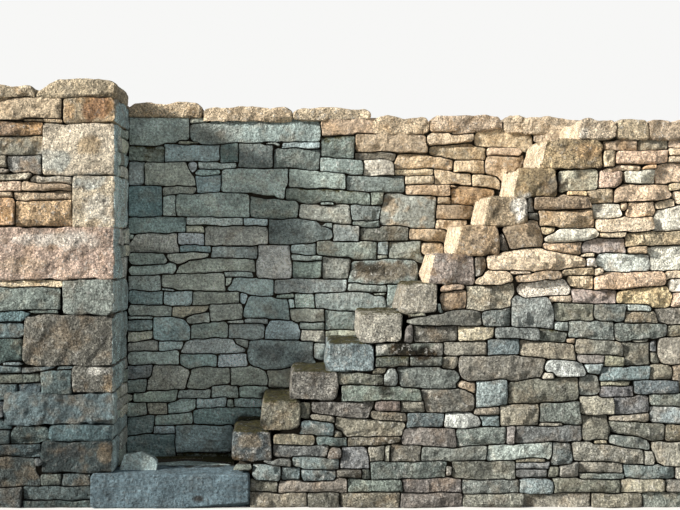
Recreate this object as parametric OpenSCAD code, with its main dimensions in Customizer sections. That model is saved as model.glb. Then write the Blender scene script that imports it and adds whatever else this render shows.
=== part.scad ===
// Dry stone terrace wall with a flight of block steps let into its face.
// The flight climbs to the right between the front wall, whose top it forms, and a back wall.
// The landing corner is built in long-and-short quoins, and every wall top carries coping stones.
// Lengths are in millimetres. x runs along the wall, y runs into the bank, z is up.

/* [Flight of steps] */
// Clear width of the flight, from the front face to the back wall
stair_width = 640; // [500:10:900]
// Number of block steps below the top step
step_count = 11; // [8:1:12]
// Height of each block step above the one below
step_rise = 203; // [160:1:220]
// Average going of a step, from riser to riser
step_going = 216; // [205:1:300]
// Height of the first step above the landing
first_rise = 294; // [240:1:330]
// Thickness of the bed of thin stones under the first block
first_bed = 84; // [40:1:110]
// Length of the top step along the wall
top_step_length = 266; // [240:1:420]

/* [Landing and threshold] */
// Length of the landing, from the corner to the first riser
landing_length = 812; // [650:1:1200]
// Height of the threshold slab, and of the landing behind it
slab_height = 238; // [180:1:260]
// Length of the threshold slab
slab_length = 1099; // [1040:1:1250]
// Length of the threshold slab that lies under the corner
slab_tail = 154; // [100:1:220]
// Depth of the threshold slab into the wall
slab_depth = 345; // [260:5:420]
// How far the threshold slab stands out from the wall face at the ground
slab_proud = 25; // [0:1:60]

/* [Walls] */
// How far the wall faces lean back for each millimetre of height
batter = 0.05; // [0.02:0.005:0.09]
// Height of the quoined corner, from the threshold to the bed of the left wall's coping
corner_height = 2622; // [2400:1:3000]
// Length of the wall left of the landing corner
left_length = 1300; // [1000:10:2600]
// Length of the wall right of the top step
right_length = 1167; // [600:1:2400]
// Thickness of the right wall at the ground
right_thickness = 600; // [450:10:800]
// Thickness of the back wall at the ground
back_thickness = 600; // [450:10:800]
// Length of the back wall that bonds behind the left wall
back_tail = 400; // [200:10:600]
// How far the masonry face lies behind the faces of the large stones
face_setback = 12; // [6:1:20]

/* [Coping] */
// Thickness of the coping on the right wall, and of the top step
right_coping = 150; // [100:1:200]
// Height of the back wall's highest bed above the top step
back_stand = 74; // [40:1:160]
// Thickness of the corner cap stone
cap_thickness = 133; // [90:1:180]
// Length of the corner cap stone
cap_length = 567; // [420:1:700]
// Overhang of the coping past the wall face
overhang = 15; // [0:1:40]
// Open joint between neighbouring coping stones
joint = 6; // [3:1:12]
// Roughness of the coping's hewn top
hewn = 22; // [5:1:35]
// Width of the worn arrises on the large stones
arris = 14; // [6:1:24]

/* [Hidden] */

// Relative heights of the corner quoins, from the threshold up
quoin_parts = [217, 112, 223, 183, 357, 245, 365, 370, 370, 180];
// Lengths of the corner quoins along the front
quoin_lengths = [504, 455, 770, 294, 637, 371, 900, 301, 518, 371];
// Share of the flight's width that each quoin spans on the return face. The first ends at the slab's back
quoin_spans = [0.5, 1, 0.25, 0.8, 1, 1, 0.35, 1, 0.2, 1];
// Distance of each riser from its even place, with the top step last
riser_shifts = [0, -8, -23, 17, 25, 89, 76, 49, 36, 23, 3, 67];
// Bearing of each block step under the next one
step_bearings = [79, 72, 84, 112, 30, 77, 140, 112, 109, 126, 168];
// Relative lengths of the coping stones along each wall
right_coping_parts = [231, 338, 310, 288];
back_coping_parts = [567, 687, 597, 448, 559, 675];
// Drop of each back coping stone's bed below the highest one
back_bed_drops = [0, 30, 20, 130, 105, 125];
// Thickness of each back coping stone at its left and right end
back_coping_ends = [[124, 118], [130, 116], [98, 100], [145, 138], [127, 130], [160, 104]];
// Outline of the corner cap: shares of its length from the corner, and of its thickness
cap_outline = [[-1, 0], [-0.96, 0.3], [-0.74, 0.93], [-0.55, 1], [-0.2, 0.98], [-0.07, 0.94], [0, 0.66], [0, 0]];
// Thickness of the left wall's other coping stones, and their relative lengths
left_coping_thickness = [104, 112];
left_coping_parts = [520, 213];

quoin_count = len(quoin_parts);
function total(list, n) = n <= 0 ? 0 : list[n - 1] + total(list, n - 1);
function pick(list, n) = list[n % len(list)];

// Edge of the nth stone where a run from a to b is shared out by relative lengths
function run_edge(a, b, parts, n) = a + (b - a) * total(parts, n) / total(parts, len(parts));

// Riser positions and tread heights, counted from 1
function riser_x(k) = landing_length + (k - 1) * step_going
    + (k > step_count ? riser_shifts[len(riser_shifts) - 1] : pick(riser_shifts, k - 1));
function tread_z(k) = slab_height + first_rise + (k - 1) * step_rise;
function step_end(k) = riser_x(k + 1) + pick(step_bearings, k - 1);
function step_bed(k) = k == 1 ? slab_height + first_bed : tread_z(k - 1);

flight_top = tread_z(step_count);
top_riser = riser_x(step_count + 1);
flight_end = top_riser + top_step_length;
right_end = flight_end + right_length;
walk_top = flight_top + right_coping;
back_bed = walk_top + back_stand;
left_bed = slab_height + corner_height;
left_depth = stair_width + batter * left_bed;
back_depth = stair_width + back_thickness;
slab_right = slab_length - slab_tail;
slab_back = slab_depth - slab_proud;

// Bed of each quoin, counted from 1, and its depth on the return face
function quoin_bed(k) = run_edge(slab_height, left_bed, quoin_parts, k - 1);
function quoin_depth(k) = k == 1 ? slab_back : stair_width * quoin_spans[k - 1];
beyond = 200;
tall = left_bed + back_bed;

x_middle = (right_end - left_length) / 2;
y_middle = (back_depth - slab_proud) / 2;

quoin_names = [for (k = [1:quoin_count]) str("quoin_", k)];
step_names = [for (k = [1:step_count]) str("step_", k)];
left_coping_names = [for (k = [1:len(left_coping_parts) + 1]) str("left_coping_", k)];
back_coping_names = [for (k = [1:len(back_coping_parts) + 1]) str("back_coping_", k)];
right_coping_names = [for (k = [1:len(right_coping_parts)]) str("right_coping_", k)];

// Variation of a worn arris, from 0.6 to 1.4, fixed for each stone and corner
function wear(stone, corner) = arris * (1 + 0.4 * sin(stone * 137 + corner * 71));

// Front outline of a squared stone with worn corners
function worn_outline(x0, z0, x1, z1, stone) = [
    [x0 + wear(stone, 1), z0], [x1 - wear(stone, 2), z0],
    [x1, z0 + wear(stone, 3)], [x1, z1 - wear(stone, 4)],
    [x1 - wear(stone, 5), z1], [x0 + wear(stone, 6), z1],
    [x0, z1 - wear(stone, 7)], [x0, z0 + wear(stone, 8)]];

// Front outline of a coping stone on a level bed, with a rough hewn top between its two ends
function hewn_outline(x0, x1, bed, left_t, right_t, stone) = let(
    shares = [0.07, 0.28, 0.52, 0.76, 0.93],
    dips = [for (i = [0:len(shares) - 1]) i == 0 || i == len(shares) - 1
        ? hewn * 0.6 : hewn * (0.5 + 0.5 * sin(stone * 97 + i * 133))])
    concat([[x0, bed], [x0, bed + left_t * 0.62]],
        [for (i = [0:len(shares) - 1])
            [x0 + (x1 - x0) * shares[i], bed + left_t + (right_t - left_t) * shares[i] - dips[i]]],
        [[x1, bed + right_t * 0.62], [x1, bed]]);

// Solid with its outline in the wall's face, from y0 to y1
module outline_block(points, y0, y1)
    translate([0, y1, 0]) rotate([90, 0, 0]) linear_extrude(y1 - y0) polygon(points);

// Solid with its section across the wall, from x0 to x1
module section_block(points, x0, x1)
    translate([x0, 0, 0]) rotate([90, 0, 90]) linear_extrude(x1 - x0) polygon(points);

// Leaning strip between the front face and a plane parallel to it
module leaning_strip(x0, x1, z0, z1, front, depth)
    section_block([[front + batter * z0, z0], [depth + batter * z0, z0],
        [depth + batter * z1, z1], [front + batter * z1, z1]], x0, x1);

// Wall with a leaning face and an upright back
module wall_block(x0, x1, z1, front, back)
    section_block([[front, 0], [back, 0], [back, z1], [front + batter * z1, z1]], x0, x1);

// Slot for the threshold slab in the masonry that it runs under
module slab_slot()
    translate([-slab_tail, -beyond, -beyond]) cube([slab_length, beyond + slab_back, beyond + slab_height]);

module left_wall() color("tan")
    difference() {
        wall_block(-left_length, -face_setback, left_bed, face_setback, left_depth);
        slab_slot();
        for (k = [1:quoin_count])
            leaning_strip(-quoin_lengths[k - 1], beyond, quoin_bed(k), quoin_bed(k + 1), -beyond, quoin_depth(k));
    }

module quoin(k) color(pick(["rosybrown", "wheat", "tan", "lightgray"], k)) {
    z0 = quoin_bed(k);
    z1 = quoin_bed(k + 1);
    intersection() {
        outline_block(worn_outline(-quoin_lengths[k - 1], z0, 0, z1, k), -beyond, back_depth);
        leaning_strip(-left_length, beyond, z0, z1, 0, quoin_depth(k));
    }
}

module threshold_slab() color("lightslategray")
    outline_block(worn_outline(-slab_tail, 0, slab_right, slab_height, 0), -slab_proud, slab_back);

module landing() color("darkolivegreen")
    section_block([[slab_back, 0], [stair_width, 0],
        [stair_width + batter * slab_height, slab_height], [slab_back, slab_height]],
        -face_setback, landing_length);

// Masonry under the flight, stepped to carry the blocks
module stair_base() color("darkkhaki")
    difference() {
        intersection() {
            outline_block(concat(
                [[landing_length, 0], [landing_length, step_bed(1)]],
                [for (k = [1:step_count], top = [0, 1])
                    [step_end(k), top == 0 ? step_bed(k) : tread_z(k)]],
                [[flight_end, flight_top], [flight_end, 0]]), -beyond, back_depth);
            leaning_strip(landing_length - beyond, flight_end + beyond, -beyond, tall, face_setback, stair_width);
        }
        slab_slot();
    }

module step(k) color("gainsboro")
    intersection() {
        outline_block(worn_outline(riser_x(k), step_bed(k), step_end(k), tread_z(k), k + quoin_count), -beyond, back_depth);
        leaning_strip(landing_length - beyond, flight_end, 0, tall, 0, stair_width);
    }

module top_step() color("wheat")
    intersection() {
        outline_block(hewn_outline(top_riser, flight_end - joint, flight_top, right_coping, right_coping, 5),
            batter * flight_top - overhang, back_depth);
        leaning_strip(top_riser - beyond, flight_end, 0, tall, -overhang - beyond, stair_width);
    }

module right_wall() color("tan")
    wall_block(flight_end, right_end, flight_top, face_setback, right_thickness);

module right_coping_stone(k) color("wheat") {
    x0 = run_edge(flight_end, right_end, right_coping_parts, k - 1);
    x1 = run_edge(flight_end, right_end, right_coping_parts, k);
    outline_block(hewn_outline(x0, k == len(right_coping_parts) ? x1 : x1 - joint, flight_top,
        right_coping, right_coping, k), batter * flight_top - overhang, right_thickness);
}

// Edges of the back wall's coping stones along the wall
function back_edge(k) = run_edge(-face_setback, flight_end, back_coping_parts, k);
function back_stone_bed(k) = back_bed - back_bed_drops[k - 1];

module back_wall() color("lightslategray")
    difference() {
        intersection() {
            outline_block(concat([[-back_tail, 0], [-back_tail, back_bed]],
                [for (k = [1:len(back_coping_parts)], side = [0, 1])
                    [k == 1 && side == 0 ? -face_setback : back_edge(k - 1 + side), back_stone_bed(k)]],
                [[flight_end, 0]]), 0, back_depth);
            section_block([[stair_width, 0], [back_depth + beyond, 0], [back_depth + beyond, tall],
                [stair_width + batter * tall, tall]], -back_tail, flight_end);
        }
        translate([-back_tail - beyond, -beyond, -beyond])
            cube([back_tail + beyond - face_setback, beyond + left_depth, tall]);
    }

module back_coping_stone(k) color("silver")
    if (k > len(back_coping_parts))
        outline_block(hewn_outline(-back_tail, -face_setback - joint, back_bed, back_coping_ends[0][0],
            back_coping_ends[0][0], k), left_depth, back_depth);
    else
        outline_block(hewn_outline(back_edge(k - 1), back_edge(k) - joint, back_stone_bed(k),
            back_coping_ends[k - 1][0], back_coping_ends[k - 1][1], k + 20),
            stair_width + batter * back_stone_bed(k) - overhang, back_depth);

module left_coping_stone(k) color("wheat") {
    back = left_depth;
    front = batter * left_bed - overhang;
    if (k == 1)
        outline_block([for (p = cap_outline) [p[0] * cap_length, left_bed + p[1] * cap_thickness]], front, back);
    else {
        x0 = run_edge(-cap_length, -left_length, left_coping_parts, k - 2);
        x1 = run_edge(-cap_length, -left_length, left_coping_parts, k - 1);
        thickness = left_coping_thickness[k - 2];
        outline_block(hewn_outline(x1, x0 - joint, left_bed, thickness, thickness, k + 40), front, back);
    }
}

// Draws one of a numbered family of stones by its name
module family(names) for (k = [1:len(names)]) union() {
    $stone = k;
    children();
}

translate([-x_middle, -y_middle, 0]) {
    left_wall();
    back_wall();
    stair_base();
    right_wall();
    landing();
    threshold_slab();
    top_step();
    family(step_names) step($stone);
    family(quoin_names) quoin($stone);
    family(left_coping_names) left_coping_stone($stone);
    family(back_coping_names) back_coping_stone($stone);
    family(right_coping_names) right_coping_stone($stone);
}
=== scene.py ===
"""Looks of a dry stone terrace wall with a flight of block steps let into its face.

Each face stone is a closed mesh of its own shape. Those that the photograph shows are placed by the
pixels of their corners, cast onto the wall's faces. The rest are laid in courses by rule.
"""
import math

import bpy
import numpy as np
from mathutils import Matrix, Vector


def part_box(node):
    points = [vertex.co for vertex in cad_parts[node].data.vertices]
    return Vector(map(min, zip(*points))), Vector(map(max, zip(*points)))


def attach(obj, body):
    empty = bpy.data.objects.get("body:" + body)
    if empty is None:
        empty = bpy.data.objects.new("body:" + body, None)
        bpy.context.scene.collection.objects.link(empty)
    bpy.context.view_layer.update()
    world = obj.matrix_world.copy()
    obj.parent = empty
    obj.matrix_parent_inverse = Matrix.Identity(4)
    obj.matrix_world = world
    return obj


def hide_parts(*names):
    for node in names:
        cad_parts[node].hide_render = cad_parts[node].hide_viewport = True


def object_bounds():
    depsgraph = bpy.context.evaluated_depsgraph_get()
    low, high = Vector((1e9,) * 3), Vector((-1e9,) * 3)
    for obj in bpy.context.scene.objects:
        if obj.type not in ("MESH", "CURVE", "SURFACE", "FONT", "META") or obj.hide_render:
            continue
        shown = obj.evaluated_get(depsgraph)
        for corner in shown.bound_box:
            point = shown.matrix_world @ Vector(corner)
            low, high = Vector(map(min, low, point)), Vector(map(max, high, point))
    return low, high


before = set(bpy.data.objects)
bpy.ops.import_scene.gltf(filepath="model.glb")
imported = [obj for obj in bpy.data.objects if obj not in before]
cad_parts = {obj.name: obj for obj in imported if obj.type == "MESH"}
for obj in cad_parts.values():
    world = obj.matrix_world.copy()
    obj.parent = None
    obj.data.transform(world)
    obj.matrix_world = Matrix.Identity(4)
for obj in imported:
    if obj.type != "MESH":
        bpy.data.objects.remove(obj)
cad_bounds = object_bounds()

# The photograph's frame and where its camera stood, from the vanishing point of the flight's depth lines
IMAGE_WIDTH = 680
IMAGE_HEIGHT = 510
VANISHING_X = 298
VANISHING_Y = 240
FOCAL_PIXELS = 1151
SENSOR_WIDTH = 36
CAMERA_AT = np.array([-0.413, -8.5745, 1.855])

# The lean of the faces, which is the part's own, and the wall's places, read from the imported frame
BATTER = 0.05
STEP_COUNT = sum(name.startswith("step_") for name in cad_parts)
QUOIN_COUNT = sum(name.startswith("quoin_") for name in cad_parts)
SLAB_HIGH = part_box("threshold_slab")[1]
STEP_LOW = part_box("step_1")[0]
LANDING_LOW, LANDING_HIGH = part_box("landing")
BACK_LOW, BACK_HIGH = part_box("back_wall")
LEFT_LOW, LEFT_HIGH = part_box("left_wall")
RIGHT_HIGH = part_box("right_wall")[1]
CORNER_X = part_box("quoin_1")[1].x
FRONT_Y = STEP_LOW.y - BATTER * STEP_LOW.z
BACK_Y = LANDING_HIGH.y - BATTER * LANDING_HIGH.z
RECESS_FOOT = LANDING_HIGH.z - 0.05

# Joints, how far a stone may grow out of its cell, and how close its rivals lie
JOINT = 0.009
BACK_JOINT = 0.010
GROWTH = 0.028
NEAR = 0.05

# Depth of the face stones, their rounded arrises, and their deepest hollows
STONE_DEPTH = 0.13
ROUNDING = 0.010
DEEPEST = -0.034
SHARP_ANGLE = math.radians(12)

# How far the first two rows of points lie from a stone's edge
FIRST_ROW = 0.005
SECOND_ROW = 0.014

# Least width of a stone, the width below which one is less broken, and how softly its highest points are held
SMALLEST = 0.012
SMALL_STONE = 0.12
EASE = 0.01

# Spacing of the points on the stones in view, on hidden ones, on single blocks and on the hearting
FINE_GRID = 0.017
COARSE_GRID = 0.05
BLOCK_GRID = 0.013
HEARTING_GRID = 0.05

# How far the hearting lies behind the faces, and how far the stones of one face lap over a corner
CORE_INSET = 0.056
CORNER_OVERLAP = 0.10

# How much smaller the single blocks are than their solids, and the room between all stones and the box
BLOCK_SHRINK = 0.001
BOX_MARGIN = 0.0005

# Layers of noise from coarse to fine, each with its size, seed and share: the height of face stones and of
# blocks, the tone of both, the outline of face stones along u and v, the edge of patches and the hearting
STONE_LAYERS = ((0.13, 21, 0.6), (0.05, 22, 0.34), (0.026, 24, 0.3))
BLOCK_LAYERS = ((0.15, 31, 0.9), (0.065, 32, 0.55), (0.032, 34, 0.25))
TONE_LAYERS = ((0.09, 51, 0.22), (0.034, 52, 0.13))
EDGE_LAYERS = (((0.11, 11, 0.009), (0.035, 12, 0.004)), ((0.11, 13, 0.008), (0.035, 14, 0.004)))
PATCH_LAYERS = ((0.05, 61, 0.35),)
HEARTING_LAYERS = ((0.12, 41, 0.012),)

# Pixels of the photograph where the walls' painted sunlight and shade change: lines as two ends, single
# places and rows. Right of the sunlit line the back wall gets painted sunlight; the light line is the edge of
# the left wall's shadow from the lamp; the rest bound painted shade at the top, at the feet and under the
# steps, and painted sunlight at the right's upper end.
SUNLIT_LINE = ((322, 118), (430, 247))
LIGHT_LINE = ((215, 118), (325, 330))
BACK_TOP_RIGHT = (400, 178)
BACK_UPPER_RIGHT = (330, 238)
BACK_FOOT_ROW = 398
LEFT_SHADE_ROWS = (262, 410)
RIGHT_SHADE_ROWS = (268, 450)
UNDER_STEPS_COLUMN = 440
SUNLIT_CORNER = (605, 250)

# Pixels of the slab's top where it runs on into the landing, and of the loose stone on the slab
APRON_PIXELS = ((146, 468), (236, 468), (234, 465.5), (215, 463), (188, 461), (160, 463))
LOOSE_STONE = ("ice", (123, 468), (127, 458), (140, 455), (153, 463), (153, 472), (123, 472))

# One source of chance, so that each run lays the same stones
RNG = np.random.default_rng(7)

# Slots of the walls
WALL_SLOTS = {
    "left_wall": "warm_masonry", "right_wall": "warm_masonry", "stair_base": "warm_masonry",
    "back_wall": "grey_masonry",
}

# The brightest that a tint may be, and the painted shade on the stones' sides in the joints
BRIGHTEST = 0.97
SIDE_SHADE = 0.75

# Corners of a noise cell, corners and arrises of a block, and the turn of the facets' lattice
CUBE_CORNERS = [(x, y, z) for x in (0, 1) for y in (0, 1) for z in (0, 1)]
BLOCK_ENDS = [(x, y, z) for x in (-1, 0, 1) for y in (-1, 0, 1) for z in (-1, 0, 1)]
BREAKABLE = [ends for ends in BLOCK_ENDS if ends.count(0) < 2]
LATTICE_TURN = np.array([[0.80, -0.36, 0.48], [0.60, 0.48, -0.64], [0.0, 0.80, 0.60]])

# Colours of the stones, as sRGB shares
TONES = {
    "grey": (0.56, 0.55, 0.50), "blue": (0.50, 0.54, 0.54), "teal": (0.38, 0.44, 0.43),
    "slate": (0.36, 0.36, 0.35), "sage": (0.55, 0.56, 0.49), "green": (0.42, 0.41, 0.33),
    "brown": (0.50, 0.43, 0.34), "lilac": (0.76, 0.67, 0.62), "tan": (0.70, 0.61, 0.47),
    "ochre": (0.86, 0.71, 0.53), "rust": (0.68, 0.52, 0.38), "pink": (0.64, 0.55, 0.49),
    "mauve": (0.59, 0.555, 0.545), "blush": (0.77, 0.67, 0.57), "chalk": (0.87, 0.82, 0.74),
    "beige": (0.76, 0.67, 0.55), "cream": (0.86, 0.78, 0.67), "white": (0.93, 0.92, 0.88),
    "ice": (0.70, 0.74, 0.73), "warm": (0.58, 0.52, 0.43), "mottled": (0.46, 0.44, 0.39),
    "moss": (0.47, 0.45, 0.37), "red": (0.58, 0.42, 0.36), "patchy": (0.74, 0.72, 0.64),
    "foam": (0.42, 0.51, 0.535), "clump": (0.11, 0.10, 0.05), "soot": (0.24, 0.25, 0.25),
    "deep": (0.12, 0.19, 0.21),
}

# Ground colours, how far stones on them are drawn towards them, and their brightness. They paint the light of
# the walls' zones into the stones: sunny is painted sunlight; shady and the two cool grounds are painted
# shade, the bluer one at the walls' feet; block is a cream ground for the blocks, partly painted sunlight.
GROUNDS = {
    "sunny": ((0.90, 0.84, 0.745), 0.30, 1.47), "grey_shade": ((0.51, 0.57, 0.575), 0.50, 1.18),
    "shady": ((0.575, 0.655, 0.66), 0.60, 1.13), "block": ((0.85, 0.79, 0.68), 0.25, 1.10),
    "plain": ((0.60, 0.57, 0.51), 0.50, 1.0), "foot_shade": ((0.45, 0.56, 0.59), 0.66, 1.05),
    "bare": ((0.50, 0.50, 0.50), 0.0, 1.0),
}
PLAIN = ("plain", 1.0)

# Tones of the stones that the photograph doesn't show
WARM_TONES = ["beige", "warm", "grey", "blush", "cream", "tan", "brown", "sage", "ice", "pink"]

# Patches on single stones: middle, half width and half height in pixels, tone, strength. Most are stains,
# lichen and moss; the ice ones at (54, 160) and (88, 181) and the slate ones at (553, 184), (10, 129) and
# (18, 146) are painted shade, and the white one at (98, 208) is pale stone with painted sunlight.
PATCHES = [
    (381, 272, 34, 11, "brown", 0.7), (281, 354, 34, 13, "deep", 0.25), (215, 132, 26, 12, "brown", 0.3),
    (96, 108, 14, 13, "rust", 0.9), (70, 110, 5, 8, "ochre", 0.6), (90, 146, 12, 10, "tan", 0.7),
    (54, 160, 17, 11, "ice", 0.6), (88, 181, 17, 8, "ice", 0.7), (98, 208, 15, 14, "white", 0.4),
    (104, 201, 1.8, 2.6, "soot", 0.9), (96, 371, 9, 5, "white", 0.7), (110, 388, 8, 5, "tan", 0.3),
    (50, 240, 40, 6, "white", 0.4), (20, 265, 25, 8, "beige", 0.4), (105, 455, 8, 10, "warm", 0.45),
    (70, 452, 18, 6, "soot", 0.5), (197.5, 498.5, 5.5, 3.2, "soot", 1.0), (250, 441, 11, 7, "tan", 0.35),
    (521, 206, 10, 14, "white", 0.8), (553, 184, 11, 11, "slate", 0.7), (586, 150, 13, 8, "ochre", 0.5),
    (560, 146, 8, 7, "slate", 0.3), (585, 134, 5, 5, "white", 0.4), (478, 240, 9, 9, "slate", 0.35),
    (499, 208, 12, 9, "warm", 0.5), (541, 176, 12, 8, "tan", 0.6), (70, 240, 30, 8, "white", 0.35),
    (95, 262, 20, 8, "lilac", 0.4), (76, 92, 20, 5, "white", 0.5), (98, 84, 8, 4, "tan", 0.5),
    (30, 228, 16, 3, "soot", 0.25), (230, 152, 7, 7, "teal", 0.4), (381, 348, 7, 5, "white", 0.5),
    (438, 350, 6, 5, "white", 0.5), (402, 350, 14, 8, "clump", 1.0), (424, 354, 13, 7, "clump", 1.0),
    (10, 129, 16, 8, "slate", 0.55), (18, 146, 24, 9, "slate", 0.3), (384, 385, 7, 5, "clump", 0.8),
    (388, 392, 8, 6, "clump", 0.8), (249, 424, 15, 9, "clump", 0.9), (276, 396, 15, 6, "clump", 0.9),
    (312, 367, 17, 5, "clump", 0.9), (343, 340, 16, 4, "clump", 0.9), (198, 461, 50, 6, "clump", 0.9),
    (366, 268, 17, 6, "clump", 0.8), (270, 352, 14, 8, "soot", 0.5), (305, 358, 9, 8, "soot", 0.5),
    (32, 127, 11, 6, "ochre", 0.7), (205, 152, 5, 8, "ice", 0.5), (140, 128, 4, 9, "ice", 0.4),
    (226, 128, 3, 8, "ice", 0.5), (221, 206, 3, 10, "ice", 0.5), (150, 165, 6, 3, "ice", 0.4),
]

# Stones of the left wall's face: left, right, top at left and right, bottom at left and right, tone
LEFT_FACE = [
    (-3, 60.5, 93.5, 95.5, 119.5, 117.5, "blush"), (22, 43.5, 118.5, 118.5, 121.5, 121.5, "cream"),
    (44, 63, 119, 119.3, 123.3, 122.5, "beige"), (-3, 43, 121.8, 121.5, 135.5, 134, "rust"),
    (-3, 41, 137, 136.5, 154.5, 154, "grey"), (7, 40, 157.5, 155.5, 172, 172.5, "blue"),
    (-3, 6.5, 155.5, 156, 167, 166.5, "grey"), (-3, 11, 167.5, 168, 172.5, 172.5, "grey"),
    (-3, 30, 173, 173, 180, 177.5, "grey"), (29, 72, 176.5, 176.5, 182.5, 183.5, "grey"),
    (-3, 21, 181, 181, 190, 191, "blush"), (21.5, 72, 182, 184, 190.5, 190, "blush"),
    (-3, 12.5, 192, 192, 196, 197, "beige"), (13, 72, 193, 191, 200, 199, "blush"),
    (-3, 14, 198, 197.5, 223.5, 223.5, "rust"), (15.5, 72, 201.5, 199.8, 225, 225.5, "ochre"),
    (-28, -14.5, 226, 226, 252, 252, "beige"), (-26, -14.5, 253, 253, 279, 279, "grey"),
    (-3, 61.5, 280, 280, 286, 287, "cream"), (-3, 58, 288, 289, 311, 308.5, "beige"),
    (25, 56, 311, 310, 313, 313, "tan"), (-3, 30, 312, 312, 320.5, 321.5, "blue"),
    (-3, 27, 321.5, 325, 337.5, 337.5, "grey"), (-3, 23, 338.5, 340.5, 364, 361, "sage"),
    (3.5, 24, 362.5, 363, 366, 366, "white"), (-3, 21.5, 366.5, 367, 372, 372.5, "white"),
    (22, 55, 368.5, 366, 373.5, 368.8, "grey"), (57, 75, 366.5, 365.5, 369.8, 369.5, "grey"),
    (-3, 39, 375, 374, 382.5, 382, "tan"), (-3, 16.5, 385, 384.5, 401, 400, "blue"),
    (17, 40, 385, 383, 396.5, 396, "slate"), (39.5, 72, 373, 370.5, 396, 396, "sage"),
    (72, 88, 392.5, 391.7, 396.3, 392, "white"), (-14, 4, 402.5, 402, 417, 417, "mauve"),
    (-3, 11, 418.5, 420, 431, 428, "blue"), (-3, 8.5, 431.5, 431.5, 444, 443.5, "grey"),
    ("grey", (9, 437), (17, 426), (44, 427), (53, 437), (53, 444), (9, 443.5)),
    (53, 75.5, 440, 440, 443.5, 442, "tan"), (-3, 42, 445.5, 444.7, 455, 457, "slate"),
    ("brown", (-3, 456.5), (33, 459), (30, 467), (38, 478), (38, 487), (-3, 487)),
    (34, 45, 459, 458.5, 466, 467, "pink"), (33, 73, 467.5, 471, 473.5, 474, "sage"),
    (40.5, 60.5, 474.5, 474, 485, 485, "tan"), (61, 92, 474, 474, 486, 486, "grey"),
    (23, 92, 487.5, 486.5, 500, 500, "grey"), (-3, 22, 488, 488, 509, 509, "brown"),
    (23, 92, 501, 501, 509, 509, "grey"),
]

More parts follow.
